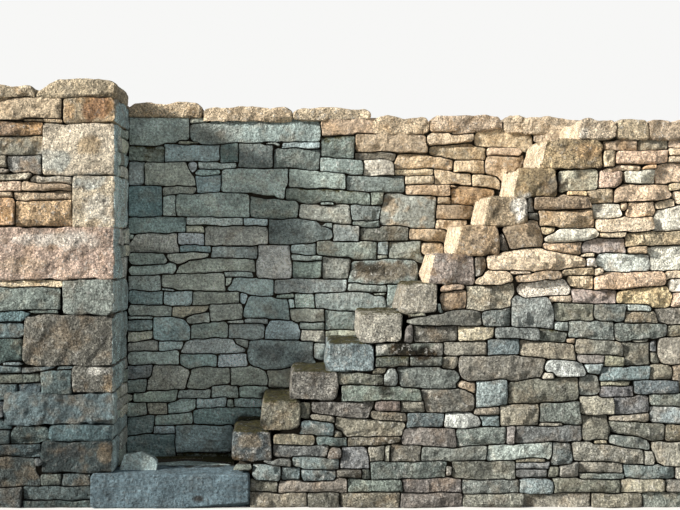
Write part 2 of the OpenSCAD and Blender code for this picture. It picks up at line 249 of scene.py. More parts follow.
# Stones of the back wall's face, above the steps
BACK_FACE = [
    (129, 188.3, 117.5, 117.5, 144.9, 140.5, "grey"), (190.5, 207, 118.7, 119, 122.5, 122.7, "warm"),
    (191.3, 319.7, 124.5, 122, 143.5, 141.4, "grey"), (264.7, 281.4, 142.5, 141, 145.4, 143, "grey"),
    (282, 319, 142.5, 142, 147, 148.9, "ice"), (177.8, 199.3, 140.5, 141, 143.8, 143.8, "tan"),
    (127.5, 164.2, 146, 148, 161, 160.7, "green"), (165.8, 220, 145.2, 144.3, 160.9, 158.5, "blue"),
    (221, 237.4, 144, 144, 162, 161.5, "teal"), (238.6, 273, 145, 144.5, 167, 167, "mottled"),
    (273.5, 319.7, 149.5, 149.5, 168, 168, "mottled"), (128, 144.2, 162.3, 162.3, 184.9, 184.5, "mauve"),
    ("warm", (146, 163), (186.5, 163), (190, 173), (194.6, 184.6), (142.8, 184.6), (144.5, 170)),
    ("mauve", (188, 165), (193, 163.4), (198.6, 165), (197, 169), (192, 172.6)),
    (199.5, 235, 163, 162.2, 167.8, 168.2, "grey"),
    ("blue", (194.6, 173.5), (200.5, 168.9), (219.3, 169.4), (218.8, 174), (196, 174.9)),
    (195.6, 220.3, 175.6, 174.9, 192.4, 191.6, "blue"),
    ("grey", (223.4, 168), (287.8, 169.4), (285.5, 184), (283.8, 198.6), (258, 193.6), (220.3, 191.6)),
    (288.9, 346, 169.3, 174.6, 186.4, 188.8, "sage"), (346.9, 404.3, 175.8, 176.3, 190.2, 191, "grey"),
    (126.7, 161.8, 186.6, 187, 216, 215.6, "deep"), (162.2, 196, 187.8, 187.2, 196, 191.8, "warm"),
    (162.6, 176, 197.2, 196, 215.6, 215.6, "grey"), (177.2, 248.7, 195.8, 193.4, 215, 217, "grey"),
    (249, 275, 192.6, 193.6, 194.6, 197.4, "tan"), (251, 296.5, 197.2, 201.2, 217.6, 218, "grey"),
    (285.6, 369.8, 188.6, 192.6, 200.2, 203.6, "green"), (370.9, 383.4, 192.4, 192.6, 204.6, 204.8, "warm"),
    (127.4, 185, 218, 217.8, 232.4, 233, "teal"), (187.3, 242.3, 217, 218.6, 223.6, 224.8, "grey"),
    (244, 268, 218.8, 219.6, 224.6, 226, "ice"), (185.8, 205.5, 226, 226, 232.8, 232.6, "tan"),
    (204.6, 267, 227.2, 226.4, 245, 244.2, "brown"),
    ("slate", (269.6, 219.6), (300, 218.9), (317, 222.4), (333.2, 231.4), (334, 237.6), (298, 243.4),
     (269.6, 243.2)), (319, 332.4, 223.6, 223.2, 227.2, 228, "sage"),
    (333.6, 359.4, 225.2, 225.6, 241.6, 242, "grey"),
    ("warm", (303.8, 205.4), (320, 206.4), (349.4, 205.8), (350, 224.2), (332, 222.6), (299.8, 218.6)),
    (350.3, 380, 205.2, 206.2, 219.4, 220, "grey"), (351.4, 380.6, 222.6, 220.6, 226, 228, "sage"),
    (321, 334, 202.4, 202.6, 205, 205, "sage"),
    ("blue", (384.2, 195), (434.6, 196), (435.6, 206), (433.2, 228), (381.6, 224.6), (382, 206)),
    (437.4, 450, 196.6, 198, 204, 203.6, "beige"), (436.4, 472.6, 204, 205, 219, 218.8, "brown"),
    ("beige", (435, 220.4), (469, 219.6), (451, 229.6), (435, 229)),
    (359.8, 408.6, 229, 227, 240.4, 240, "brown"), (409.6, 444.6, 228.6, 230.8, 239, 241.8, "beige"),
    ("grey", (127.6, 233.4), (134, 233.4), (131, 240)),
    ("brown", (134.4, 233.6), (176, 234), (178.6, 252), (129.2, 252), (130.6, 241)),
    (176.4, 203.3, 233.4, 233.4, 244.6, 244.8, "mauve"), (179.4, 209.6, 246.4, 245.8, 252, 252.2, "teal"),
    (211.2, 255.9, 247.6, 246, 256.7, 257.8, "grey"), (258, 289.6, 245.2, 245.8, 277.8, 278, "pink"),
    (292.6, 315.7, 244.8, 244.2, 254.4, 254.4, "ice"), (317.4, 376.4, 242.2, 241.6, 254.8, 259.4, "grey"),
    (377.2, 387.6, 241.6, 241.6, 253.6, 254, "mauve"), (377.2, 387.4, 254.6, 254.6, 258, 257.4, "warm"),
    (388.6, 421, 242, 241.4, 258, 260, "brown"), (421.6, 440.4, 243, 244, 252, 251, "beige"),
    (292.6, 322.9, 255.4, 256.6, 259.6, 260.4, "grey"), (130.4, 165, 254, 253.6, 264, 264.4, "grey"),
    ("warm", (166, 254.6), (176, 252.6), (208.8, 253), (203, 258), (176, 262)),
    ("brown", (176, 272.6), (188.4, 260.4), (214, 258.4), (252.7, 258.2), (254.2, 270.2)),
    (130.8, 173, 265.2, 265.6, 274.8, 274.8, "grey"), (293.6, 321.8, 261.4, 261.6, 277.2, 277.2, "sage"),
    ("warm", (323.8, 256.6), (350.2, 259), (346.6, 279.2), (322, 277.8)),
    ("mottled", (351, 262.6), (374, 262), (392, 259.2), (413.6, 261.4), (414.4, 283), (347.6, 282.6)),
    (127.6, 161, 276, 276.2, 289.6, 290.4, "sage"), (162.4, 224, 275, 274.2, 288.4, 290, "warm"),
    (224.4, 252, 272, 271.6, 277.2, 276.6, "grey"), (224.8, 231, 278.4, 278.8, 286, 284.6, "warm"),
    ("ice", (234.4, 278.2), (273.2, 279.4), (273.2, 294.2), (258, 294), (227.6, 290.2), (230, 285)),
    (275.9, 346, 279.4, 279.8, 293, 290.4, "mottled"), (346.6, 386.8, 284.6, 286.6, 290.6, 291.8, "grey"),
    (387.5, 404, 284.5, 284.5, 311, 311, "grey"), (373, 385.6, 292.8, 293, 296.4, 296.8, "warm"),
    (161.4, 173.8, 288.8, 288.2, 290.8, 290.8, "grey"), (130.6, 162, 291.6, 291.6, 304.6, 304, "teal"),
    (162.6, 191.2, 291.6, 291.6, 304.2, 304.6, "ice"), (193.2, 240, 292.8, 291.8, 305, 302.2, "warm"),
    ("ice", (241, 293.6), (244, 292.6), (248.6, 296.4), (244, 304.4), (240.9, 302)),
    ("blue", (249.6, 297), (276, 297.6), (287, 299), (289.4, 319.6), (262, 317.6), (244.9, 316.2)),
    (276.6, 295, 294, 294.2, 297.4, 298, "sage"), (290.2, 294.6, 299.8, 299.8, 307.4, 307.4, "ice"),
    (295.4, 314, 294.6, 294.6, 307.6, 307.8, "grey"), (315.5, 385, 293.4, 294.8, 308.8, 310, "mauve"),
    (130.8, 171.2, 305.6, 306.2, 315.6, 315.4, "grey"), (172, 206.6, 307, 307.4, 316.2, 313.6, "ochre"),
    ("warm", (187.6, 317.4), (206, 312.6), (208.8, 314), (208.8, 322.8), (190, 322.6)),
    (209.8, 242.2, 305.6, 303.8, 321.2, 319, "warm"), (291.4, 324.2, 309.4, 309.4, 321, 321.4, "brown"),
    (325.2, 354.6, 311.2, 311.4, 328.4, 330, "grey"), (128.8, 151.4, 317.2, 317.2, 319.4, 319.6, "grey"),
    (128.3, 150.8, 320.4, 320.2, 330.6, 330.8, "slate"), (127.6, 151.6, 332.6, 331.8, 341.6, 339.6, "tan"),
    ("blue", (152.8, 317.6), (174, 317.2), (190.4, 327.4), (188.2, 339.6), (153, 339)),
    (191.2, 227, 325, 322, 338.2, 337, "grey"), (229.2, 263.6, 324.4, 324, 338, 338, "grey"),
    (225.8, 244.5, 320.8, 320.4, 323.4, 323.6, "warm"), (244.6, 267, 319.8, 319.4, 322.8, 323, "grey"),
    ("ice", (269.4, 321), (291.6, 320.6), (300.8, 331.4), (299.6, 339.6), (264.2, 339.6)),
    (300.6, 323.4, 322.2, 322.2, 328.6, 328.6, "grey"), (302, 324, 330, 330, 341, 342.2, "tan"),
    (324.6, 355.4, 330.8, 331, 338, 338.6, "tan"), (129, 157.4, 343.8, 341.2, 350.8, 350, "brown"),
    (158.4, 181.6, 341.2, 341, 350.4, 349.8, "ice"),
    ("mauve", (180.2, 351.4), (186.6, 341.6), (214, 337.9), (232, 341), (245.2, 349.4), (243, 351.6),
     (206, 354)), (234.8, 247.2, 340, 340.4, 346.4, 347, "warm"),
    ("slate", (248.5, 341), (313.6, 343), (314, 357), (312.4, 364.4), (254.4, 367.4), (248.6, 358)),
    (315, 323.6, 343.8, 344, 356.8, 357, "grey"), (130.4, 178.4, 353.2, 351.4, 364.4, 364.4, "sage"),
    ("blue", (180, 357), (200, 355.4), (214, 355.6), (216.8, 361), (216, 366), (180, 364.2)),
    (219.8, 247, 354.6, 354.6, 366.4, 366.4, "mauve"), (126.2, 151.8, 367.2, 365.6, 378.6, 376.6, "slate"),
    ("brown", (154.8, 366.2), (178.6, 365.8), (188, 375), (184, 389.2), (147.8, 388.8), (150, 378)),
    (126, 145.4, 380.2, 379.8, 391.6, 393, "teal"),
    ("warm", (196, 370.4), (229.6, 367.4), (229.9, 383.4), (199.4, 389.2), (185.4, 387.4), (189, 379)),
    ("warm", (231, 368.6), (257.5, 367.2), (267, 377.6), (267.8, 384.8), (231.2, 384.8)),
    (268.8, 290, 371.8, 370.4, 386, 386.8, "brown"), (211.2, 236.8, 386.2, 385.6, 397.2, 397.2, "sage"),
    (178.8, 210.7, 393, 390.2, 397.4, 397.6, "grey"), (133.2, 176.8, 392.2, 391.2, 400.4, 401.8, "sage"),
    (126.8, 132.8, 395, 394.6, 399.8, 400, "brown"), (239.6, 269, 388, 387, 396.6, 396.8, "sage"),
    (269.4, 290, 388, 388.6, 397, 399, "moss"), (126.8, 146.2, 403.6, 402.4, 416, 414.4, "sage"),
    (147.6, 167.2, 402.6, 402.4, 413.8, 414.2, "tan"), (168, 195.2, 402.6, 400.2, 413.2, 408.4, "ice"),
    (196.6, 225, 399, 398.4, 407.8, 407.4, "ice"), (227, 232.8, 400.4, 400.4, 407.4, 407.4, "grey"),
    (233.8, 261.6, 398.8, 399.2, 406.8, 407.2, "ice"), (192.8, 260.4, 409.8, 408.2, 423.2, 425, "teal"),
    (155, 191.4, 416, 412.6, 425.8, 424, "sage"), (127.6, 153.2, 418.2, 416.6, 434.4, 432, "teal"),
    (153.4, 175.2, 427, 426.8, 433.4, 433.8, "ice"), (176.4, 229.8, 427, 426, 452, 452, "blue"),
    (128.4, 175.5, 436.2, 435, 462, 462, "teal"), (176.6, 230, 453.4, 453.4, 466, 466, "moss"),
    (534, 588, 131, 131, 139.5, 140, "beige"), (322.5, 375.6, 120, 120.4, 135.2, 132.8, "blush"),
    (321.2, 354.6, 137, 137.6, 156, 157.6, "green"), (356.9, 427.6, 134.4, 136.2, 150.2, 154, "beige"),
    (354.9, 396.6, 152, 152, 158.8, 159.8, "grey"), (320.4, 362.8, 157.6, 160.6, 170, 173.2, "sage"),
    ("white", (364, 160), (368, 159), (388, 159.2), (394.5, 164.6), (394.5, 175.2), (364.6, 174.2)),
    ("beige", (395.8, 157), (399, 153.4), (421, 154.2), (428, 158), (453, 158.4), (452.8, 168.8),
     (395.8, 167.6)), (396, 433, 169, 169.4, 175, 175.6, "cream"),
    (426.4, 471.6, 136.4, 135.4, 145.2, 140.4, "cream"),
    ("beige", (428.6, 150), (434, 146.8), (466, 144), (485.8, 148), (485.6, 160), (466, 156.6),
     (429, 156.4)), (454.4, 478.2, 131.4, 128.8, 134, 131, "cream"),
    ("beige", (475.4, 132.4), (480, 130), (497, 129), (514, 132), (533, 136.8), (527.6, 148.8),
     (475.6, 144.4)), (487.5, 518.8, 149, 149.6, 154.6, 156, "beige"),
    (453.2, 484.4, 160.4, 160.8, 173.2, 173.2, "beige"),
    ("beige", (487, 158), (521, 157.6), (521, 166), (504, 179), (486.2, 174)),
    (434.8, 471.8, 170.6, 172.8, 184.4, 184.4, "beige"), (472.6, 497.6, 174.4, 176, 186.2, 187, "beige"),
    (405.4, 433.2, 176, 175.6, 183.8, 183.6, "cream"), (406.8, 450, 184.8, 184.6, 194, 195.6, "beige"),
    (449.6, 459, 185.2, 185, 188.2, 188.6, "beige"),
    ("rust", (451, 188.6), (460, 186.2), (486, 186.8), (493.6, 190), (490, 199), (478, 204), (451, 203.6)),
]

# Stones of the front wall, under the steps and right of them
FRONT_FACE = [
    (604.4, 638, 139.9, 140, 149, 148.6, "brown"), (638.8, 669, 140.4, 139.8, 148.2, 148.2, "sage"),
    (669.8, 690, 142, 142, 147, 147, "cream"), (605, 616, 150.4, 150.4, 166, 166, "beige"),
    (616.8, 669.4, 151.6, 149.8, 161.8, 161.6, "blush"), (670.2, 684, 148.4, 148.4, 155.6, 155.6, "beige"),
    (670.2, 690, 156.4, 156.4, 161.8, 161.8, "cream"),
    ("cream", (556, 165.6), (566.6, 162.6), (589.8, 161.2), (589.8, 167.4), (557, 167.6)),
    (591.2, 603.8, 161.8, 161.2, 168.8, 168.8, "beige"),
    ("cream", (604, 168.6), (621, 164.6), (642.6, 165.8), (638.8, 169.6), (604, 171.2)),
    (643, 655.4, 165.2, 165.6, 168, 168.4, "ochre"),
    ("blush", (655.8, 169), (660, 165.4), (671, 163.2), (690, 164), (690, 181), (656.6, 182.6)),
    ("grey", (560, 172), (566, 169.8), (597.6, 169), (598.4, 189.8), (560, 190)),
    (601.4, 623.2, 172.4, 171.2, 186.4, 185, "pink"), (626.2, 655.4, 170.4, 170.4, 182.8, 182.6, "white"),
    (567.8, 586.4, 191, 190.8, 194.6, 195, "ochre"),
    ("warm", (587.4, 189.8), (609, 188), (613.2, 193.6), (612.6, 201), (590.6, 203)),
    ("beige", (616, 193), (623, 184), (668, 185), (670, 195), (657.6, 199.6), (616.4, 202.4)),
    (670.2, 690, 182.8, 182.8, 188.4, 188.4, "beige"), (675.4, 688, 190, 190, 203, 203, "cream"),
    (528.6, 533.4, 196, 196, 211, 211, "slate"), (534.6, 592.4, 196.6, 196, 208.4, 207.8, "brown"),
    (540.4, 593.8, 210, 209.8, 225, 227.2, "tan"), (594.8, 621.2, 205, 205, 218.4, 217, "white"),
    (622, 628.6, 202.8, 202.8, 209, 209, "cream"), (629, 654.6, 202.6, 201.4, 217, 216, "beige"),
    ("cream", (657, 203.6), (675, 199.2), (677, 202), (674, 205), (658, 206.4)),
    ("white", (655, 222), (660.4, 212.4), (684, 206), (684, 229), (657.6, 230.4)),
    (528.4, 540, 212.4, 213.6, 216, 220.4, "slate"), (596.2, 653.4, 219.4, 217.6, 231.6, 228.6, "cream"),
    (542.4, 555.6, 227, 227, 233, 232.6, "beige"),
    ("white", (546, 237.6), (555.8, 230), (597, 229), (598.6, 237.8), (575, 241.2), (551, 241.8)),
    ("brown", (502.6, 226.4), (520, 221.2), (538, 219.8), (543, 233), (542.4, 246), (511, 248.4)),
    ("slate", (498.4, 236), (502, 234), (508.6, 249.4), (499.6, 249.8)),
    (543.8, 581.8, 244.6, 242.8, 252, 254, "tan"),
    ("mauve", (582, 246), (598.6, 238.4), (625.4, 237.6), (626, 250.6), (583, 252.4)),
    (600, 626, 233.4, 233, 236.6, 236.6, "cream"), (627, 690, 235, 230.6, 245.6, 242.6, "warm"),
    (629.6, 646.6, 246.6, 246.2, 253.4, 253.8, "brown"),
    ("white", (648.2, 250), (652, 247.6), (690, 245), (690, 270.6), (654, 270.6)),
    ("cream", (487, 256), (520, 250), (546, 249), (586, 257.2), (588, 265.8), (540, 270), (492, 269.4)),
    (588.2, 597, 258.4, 258.2, 266.4, 266.6, "white"),
    ("ice", (597.4, 258.6), (605, 253.8), (650, 254), (652.8, 265), (650, 270.6), (609, 271.2),
     (597.6, 264)), (581, 594.6, 253.6, 253.8, 256.6, 257, "cream"),
    (475.4, 484, 258, 258, 276.6, 276.6, "slate"),
    ("cream", (474, 281), (486, 273), (508, 272), (513, 279), (500, 283), (474.4, 284.2)),
    ("warm", (516, 278.6), (530, 273.8), (557, 271.2), (562, 276), (556, 280), (524, 281.8)),
    (511.6, 530, 270.8, 270.6, 271.8, 273, "cream"), (563.8, 594.2, 269, 267, 274.8, 274.4, "warm"),
    (595.2, 604, 268.6, 268.6, 274.8, 274.8, "cream"), (570, 593.6, 276, 276, 286.8, 288, "beige"),
    ("blush", (594.8, 277), (604, 273.6), (640, 272.6), (663, 271.8), (665, 284.6), (595, 289.4)),
    (668.8, 690, 271.4, 271.4, 278, 278, "cream"),
    ("white", (521.4, 290), (523, 285.2), (548, 280.4), (563, 280.2), (573, 287), (568, 292.4), (526, 298)),
    ("mauve", (512, 299.8), (550, 298.3), (553.5, 327.7), (512, 325.6)),
    (551, 571, 298, 296.5, 301, 301.7, "cream"), (573.5, 615.8, 289.8, 290.5, 301.7, 303, "mauve"),
    ("tan", (617.3, 292.5), (669, 286.5), (673.5, 295.4), (666.4, 306.5), (617.3, 303)),
    (675, 690, 293.5, 293.3, 306, 306, "cream"), (671.5, 684, 279.5, 279.5, 290.3, 290.6, "white"),
    (556, 594.2, 303, 304.6, 320.7, 320, "brown"),
    ("grey", (597, 304.8), (625, 305), (625.7, 320), (603, 320.5), (596, 314)),
    (628.6, 651, 304.9, 305.3, 311, 311.5, "white"),
    ("tan", (627, 311.8), (653.8, 312), (658.7, 322), (626.4, 322.8)),
    ("blush", (657.5, 310), (690, 308), (690, 323.5), (662, 323.3)),
    (555.2, 568.6, 321.3, 322.3, 329.5, 330.5, "white"), (570, 614.5, 321.5, 320.9, 336.8, 339, "grey"),
    ("mottled", (616.6, 325), (665, 323.6), (667, 334.7), (640, 338.5), (618.8, 341)),
    ("tan", (668, 331), (671, 326.8), (690, 326), (690, 334), (669, 336)),
    (540, 566.4, 328.6, 332.6, 340.3, 341.7, "green"), (566.8, 574.5, 338.5, 339, 342, 343, "ochre"),
    ("warm", (576, 341), (580, 339.4), (621, 342.6), (622.5, 355.8), (600, 354.5), (576, 350.2)),
    (624.8, 650.8, 343.5, 343, 364.9, 364.2, "brown"), (634, 648, 340.6, 340.3, 342.6, 342.6, "cream"),
    (651.7, 657.8, 342, 342, 351.5, 351.5, "slate"), (651.7, 658, 352.5, 352.5, 362, 362, "brown"),
    ("beige", (659, 341), (670, 338), (690, 337), (690, 362), (665, 363.5), (660, 357)),
    ("white", (546, 366), (552, 360.7), (583, 363), (584.4, 376), (562, 376.5), (546, 370)),
    (579, 604, 356.5, 355.5, 364, 362.8, "pink"), (605.4, 625, 356.7, 357, 365.8, 366.3, "tan"),
    ("ice", (584.6, 366), (602.8, 365), (600.5, 374), (590, 371.5)),
    (545, 554, 373, 372.3, 377.5, 378, "cream"), (601.6, 650, 368.5, 366.2, 380.3, 379, "blue"),
    ("tan", (651.3, 365.5), (669, 364.2), (673.5, 371), (672.4, 378), (651.3, 378.5)),
    (674.2, 690, 364.5, 364.2, 379.5, 379.6, "ochre"),
    ("grey", (578.7, 378.4), (596.3, 374.9), (601.9, 390.8), (586.5, 396.5), (579.4, 395)),
    (602.3, 629.3, 382.3, 381.9, 386, 386.4, "tan"), (635, 679, 381.5, 380.5, 393.6, 392.2, "blue"),
    (602, 634.5, 387.5, 386.8, 398, 395.8, "mauve"), (680, 690, 381, 381, 392, 392, "tan"),
    (441.2, 464.8, 287, 282.4, 291.8, 288.6, "pink"), (442, 467, 293.4, 290.4, 310, 306.6, "brown"),
    (437, 442.4, 303, 303, 313.4, 313.4, "slate"), (467.4, 511, 287, 285.8, 308.6, 306.6, "grey"),
    (404.6, 426.2, 313.6, 311.4, 316.2, 316.4, "beige"),
    ("warm", (407.4, 319.6), (435, 315.2), (468.4, 310.6), (480.2, 313.8), (482.2, 324), (415, 324.6)),
    (482.8, 510.4, 314, 308.4, 324.8, 325.4, "grey"),
    ("pink", (406, 331), (411.4, 326), (411.4, 343.2), (403, 342.8)),
    (415.2, 456.2, 326.6, 328.6, 342.8, 340.2, "warm"), (460.4, 494.6, 328.8, 327.6, 341.4, 336.8, "ochre"),
    (496, 539.4, 328.8, 330, 337.8, 340.2, "mauve"), (444.8, 487.2, 342.2, 342.8, 352.4, 354.2, "brown"),
    (488.4, 519, 340.6, 340, 354.8, 353.6, "blue"), (520, 574.2, 341.4, 344.8, 355.4, 359.6, "tan"),
    (376, 443, 343.8, 344.4, 355.6, 356, "patchy"), (376, 409, 356.6, 356.6, 366, 366, "green"),
    (409.6, 442.6, 357, 357, 365.6, 366, "mottled"), (443.4, 455.6, 358.4, 358.4, 369.4, 369.6, "beige"),
    (371.8, 385.6, 368, 368, 373, 373.2, "tan"),
    ("white", (384.4, 375), (388, 370.6), (393, 370.2), (396.6, 375), (396.4, 387), (384.6, 387)),
    ("grey", (398.4, 367.4), (456.2, 370.2), (456.4, 388.6), (420, 388.4), (403, 386.4)),
    ("warm", (463, 358), (500, 356), (545.8, 359.2), (544, 374), (528, 377.8), (470, 381.2), (463.2, 372)),
    ("rust", (456, 385), (466, 383.4), (475.8, 383.8), (475.2, 392.6), (470, 390)),
    (476.4, 507.4, 382, 379.4, 406.8, 404.6, "ice"), (509.6, 579.2, 383.2, 378.6, 403.4, 400.6, "warm"),
    (338.2, 383.4, 372.6, 375.6, 383, 385, "warm"), (343, 421.2, 385.6, 388, 399.2, 400.2, "sage"),
    ("warm", (422.6, 390.2), (466, 389.8), (475, 398), (475, 408), (461, 411), (427, 411.8)),
    ("pink", (313, 402.8), (373, 403.4), (372, 410), (366, 417.2), (345, 416.8), (313, 411)),
    (376.8, 400.2, 401.8, 401.8, 409.6, 410.4, "red"), (401, 423.4, 401.4, 401.4, 412.4, 412.4, "beige"),
    (372.6, 406, 411.6, 414.2, 418.2, 421.4, "tan"), (310.2, 335, 415, 418.4, 417.6, 422.8, "beige"),
    (300.6, 309.2, 402.8, 402.8, 417.8, 417.6, "brown"),
    ("tan", (335.2, 421), (338, 418.4), (404, 423.2), (404, 435.8), (345, 436.6), (336, 428)),
    (300, 333.6, 422, 423.2, 433, 435.6, "teal"), (334, 342, 430.6, 430.6, 438, 438.4, "beige"),
    (348.6, 401, 439.6, 437.4, 446.8, 443.4, "tan"), (406.8, 444.4, 414.4, 414.4, 427, 426.4, "blue"),
    ("white", (445.6, 414.4), (471, 413.2), (481.6, 422), (480, 424.6), (461.4, 427.8), (445.4, 426)),
    (481.8, 500, 416.6, 416.6, 424, 427, "blue"), (475.6, 500, 408.4, 408, 412.6, 414.4, "tan"),
    (500.4, 539.4, 405.2, 404.8, 426, 424.4, "tan"), (540.4, 581.4, 404.4, 401.2, 422, 423.6, "mottled"),
    (579.8, 614.4, 397.6, 399.6, 413.8, 414.6, "blush"),
    (616.2, 650.2, 399.6, 397.4, 414.8, 412.4, "mauve"), (650, 690, 395, 393.4, 404.2, 407, "grey"),
    (650.6, 686, 407.6, 408.2, 421, 424, "ice"), (610.4, 650.2, 416.2, 413.6, 420, 420.8, "tan"),
    (402.8, 456.8, 430, 429.6, 444, 446.8, "pink"), (457.2, 506.2, 429.6, 427.6, 446.8, 443.4, "grey"),
    (507.2, 515.6, 427.6, 427.6, 444, 444, "pink"), (516.4, 582, 428.2, 426.6, 442, 439.2, "mauve"),
    (540.4, 562, 423.4, 422.6, 425.6, 425.6, "blush"), (583.8, 608.2, 416.6, 415.6, 438.4, 440, "brown"),
    ("warm", (611, 422.4), (664.4, 425.8), (665, 439.6), (645, 435.8), (612, 431)),
    (665.8, 690, 426.8, 426.8, 439.8, 439.8, "tan"),
    ("sage", (608.6, 435.8), (642, 439), (651, 446), (650, 450.6), (609, 443.8)),
    (595, 606.8, 440.6, 440.6, 443.8, 443.8, "ochre"), (273.8, 313.2, 436.6, 436, 445, 444.6, "tan"),
    (318.4, 347, 438, 438.6, 444.6, 446, "teal"), (273.6, 326.4, 447.4, 446.6, 455, 455.4, "mauve"),
    ("pink", (327.6, 454), (332, 449.4), (341, 451), (341.4, 457), (334, 458.8), (328.4, 457.6)),
    ("mauve", (343, 448.6), (365, 448), (369.2, 459), (368.8, 469.2), (341, 468.8)),
    (370.4, 384.2, 448, 447.4, 461.4, 459, "cream"), (385.8, 389.8, 447.4, 447.4, 460.6, 460.6, "cream"),
    (391.4, 420.6, 445.6, 446, 461.4, 461.4, "warm"), (422.2, 487, 449.2, 448, 461, 459.6, "grey"),
    (488, 552.6, 447.4, 443, 462.2, 456.8, "white"), (553, 572, 442.6, 443.4, 465.6, 465, "slate"),
    ("warm", (572.2, 443.8), (602, 445), (644.4, 449.4), (644.4, 464.2), (575, 459.6)),
    (645.6, 653.6, 451, 451, 465.6, 465.8, "pink"),
    ("blush", (652.4, 446), (662, 442.6), (690, 441), (690, 464), (664, 466.2), (654.4, 456)),
    (293.6, 338.6, 457.6, 460.4, 467, 470, "ice"), (263, 290, 460.4, 462, 463, 466.4, "grey"),
    (234.6, 262.2, 458.2, 460, 462, 463.4, "grey"), (236, 252, 463.2, 464, 467.6, 468, "grey"),
    (253, 279.8, 465.2, 467, 483, 483, "blue"), (281.4, 300.4, 467.6, 467.6, 481.4, 481.4, "teal"),
    (302, 336.4, 470.8, 471.2, 483.4, 483.8, "blue"), (337, 360.2, 471.2, 471.2, 477.6, 477.8, "brown"),
    (361.8, 369.4, 469.8, 469.8, 479, 479, "grey"), (371.2, 446.4, 462.8, 462.6, 479.8, 478.4, "sage"),
    (447, 453, 467, 467, 476.2, 476.2, "pink"), (453.6, 515.4, 462, 462, 479, 480.4, "warm"),
    (516, 545, 460, 459, 462.6, 462, "tan"), (516.4, 550, 464, 463, 469.2, 469.2, "mauve"),
    (516.4, 548, 470, 470, 476.4, 476.4, "mauve"), (580.4, 623, 462.8, 464.6, 473.4, 473.4, "blush"),
    (624.4, 675.4, 465, 466.8, 477.6, 477.6, "blue"), (560, 579.2, 466.4, 463, 476.2, 476.2, "pink"),
    (551, 559.4, 467, 467, 476, 476, "brown"), (676, 690, 467.4, 466.4, 478, 478, "cream"),
    (580.4, 624, 474.4, 474.4, 479.5, 479.5, "grey"),
]


def noise_cells(grid, seed):
    """Pseudo-random number from 0 to 1 for each row of whole numbers."""
    mixed = grid[..., 0] * 374761393 + grid[..., 1] * 668265263 + grid[..., 2] * 2147483647 + seed * 144665
    mixed = (mixed ^ (mixed >> 13)) * 1274126177
    mixed = mixed ^ (mixed >> 16)
    return (mixed & 0xFFFF) / 65535.0


def smooth_noise(points, size, seed):
    """Smooth noise from -1 to 1 at points (n by 3), with bumps of about the given size."""
    scaled = points / size
    base = np.floor(scaled).astype(np.int64)
    part = scaled - base
    blend = part * part * (3 - 2 * part)
    total = np.zeros(len(points))
    for corner in CUBE_CORNERS:
        weight = np.where(corner, blend, 1 - blend).prod(axis=1)
        total += weight * noise_cells(base + np.array(corner), seed)
    return total * 2 - 1


def facet_noise(points, size, seed):
    """Height from -1 to 1 of flat facets that meet in creases: random heights joined by planes."""
    scaled = points @ LATTICE_TURN / size
    corner = np.floor(scaled).astype(np.int64)
    part = scaled - corner
    order = np.argsort(-part, axis=1)
    shares = np.take_along_axis(part, order, axis=1)
    height = noise_cells(corner, seed) * (1 - shares[:, 0])
    rows = np.arange(len(points))
    for k in range(3):
        corner[rows, order[:, k]] += 1
        lower = shares[:, k + 1] if k < 2 else 0
        height += noise_cells(corner, seed) * (shares[:, k] - lower)
    return height * 2 - 1


def layered(noise, points, layers):
    """Sum of noise of several sizes, each with its own seed and share."""
    return sum(noise(points, size, seed) * share for size, seed, share in layers)


def tonal_facets(points):
    """Brightness of the facets of a broken surface, about 1."""
    return 1 + layered(facet_noise, points, TONE_LAYERS)


def patched(points, tints):
    """Tints with the photograph's patches on what lies behind their pixels: mostly stains, lichen and moss,
    and a few of painted shade and sunlight.
    """
    depth = points[:, 1] - CAMERA_AT[1]
    px = VANISHING_X + FOCAL_PIXELS * (points[:, 0] - CAMERA_AT[0]) / depth
    py = VANISHING_Y + FOCAL_PIXELS * (CAMERA_AT[2] - points[:, 2]) / depth
    ragged = layered(facet_noise, points, PATCH_LAYERS)
    edge, fade = 1.15, 0.3
    for x, y, wide, tall, tone, strength in PATCHES:
        away = np.hypot((px - x) / wide, (py - y) / tall) + ragged
        share = np.clip((edge - away) / fade, 0, 1)[:, None] * strength
        tints[:, :3] += (linear_colour(tone, "bare") - tints[:, :3]) * share
    return tints


def linear_colour(name, ground):
    """Scene-linear colour of a tone, drawn towards the ground colour of its wall and scaled by the ground's
    gain, which mostly paint sunlight and shade into it.
    """
    base, share, gain = GROUNDS[ground]
    shares = np.array(TONES[name]) * (1 - share) + np.array(base) * share
    return ((shares + 0.055) / 1.055) ** 2.4 * gain


class Face:
    """A wall face: a plane with u along it, v up it as height, and w out of it."""

    def __init__(self, base, along, lean_y=0.0, up=(0, 0, 1), reach=0.0):
        self.base = np.array(base, float)
        self.reach = reach
        self.along = np.array(along, float)
        self.up = np.array(up, float) + np.array([0, lean_y, 0])
        normal = np.cross(self.along, self.up)
        self.out = normal / np.linalg.norm(normal)

    def place(self, u, v, w):
        """Points of the frame for face coordinates."""
        return self.base + np.outer(u, self.along) + np.outer(v, self.up) + np.outer(w, self.out)

    def pixel(self, px, py):
        """Where the photograph's pixel meets this face, as (u, v), if the camera sees the face."""
        down = (py - VANISHING_Y) / FOCAL_PIXELS
        reach = self.base[1] + self.up[1] * CAMERA_AT[2] - CAMERA_AT[1]
        distance = reach / (1 + self.up[1] * down)
        return (CAMERA_AT[0] + distance * (px - VANISHING_X) / FOCAL_PIXELS, CAMERA_AT[2] - distance * down)


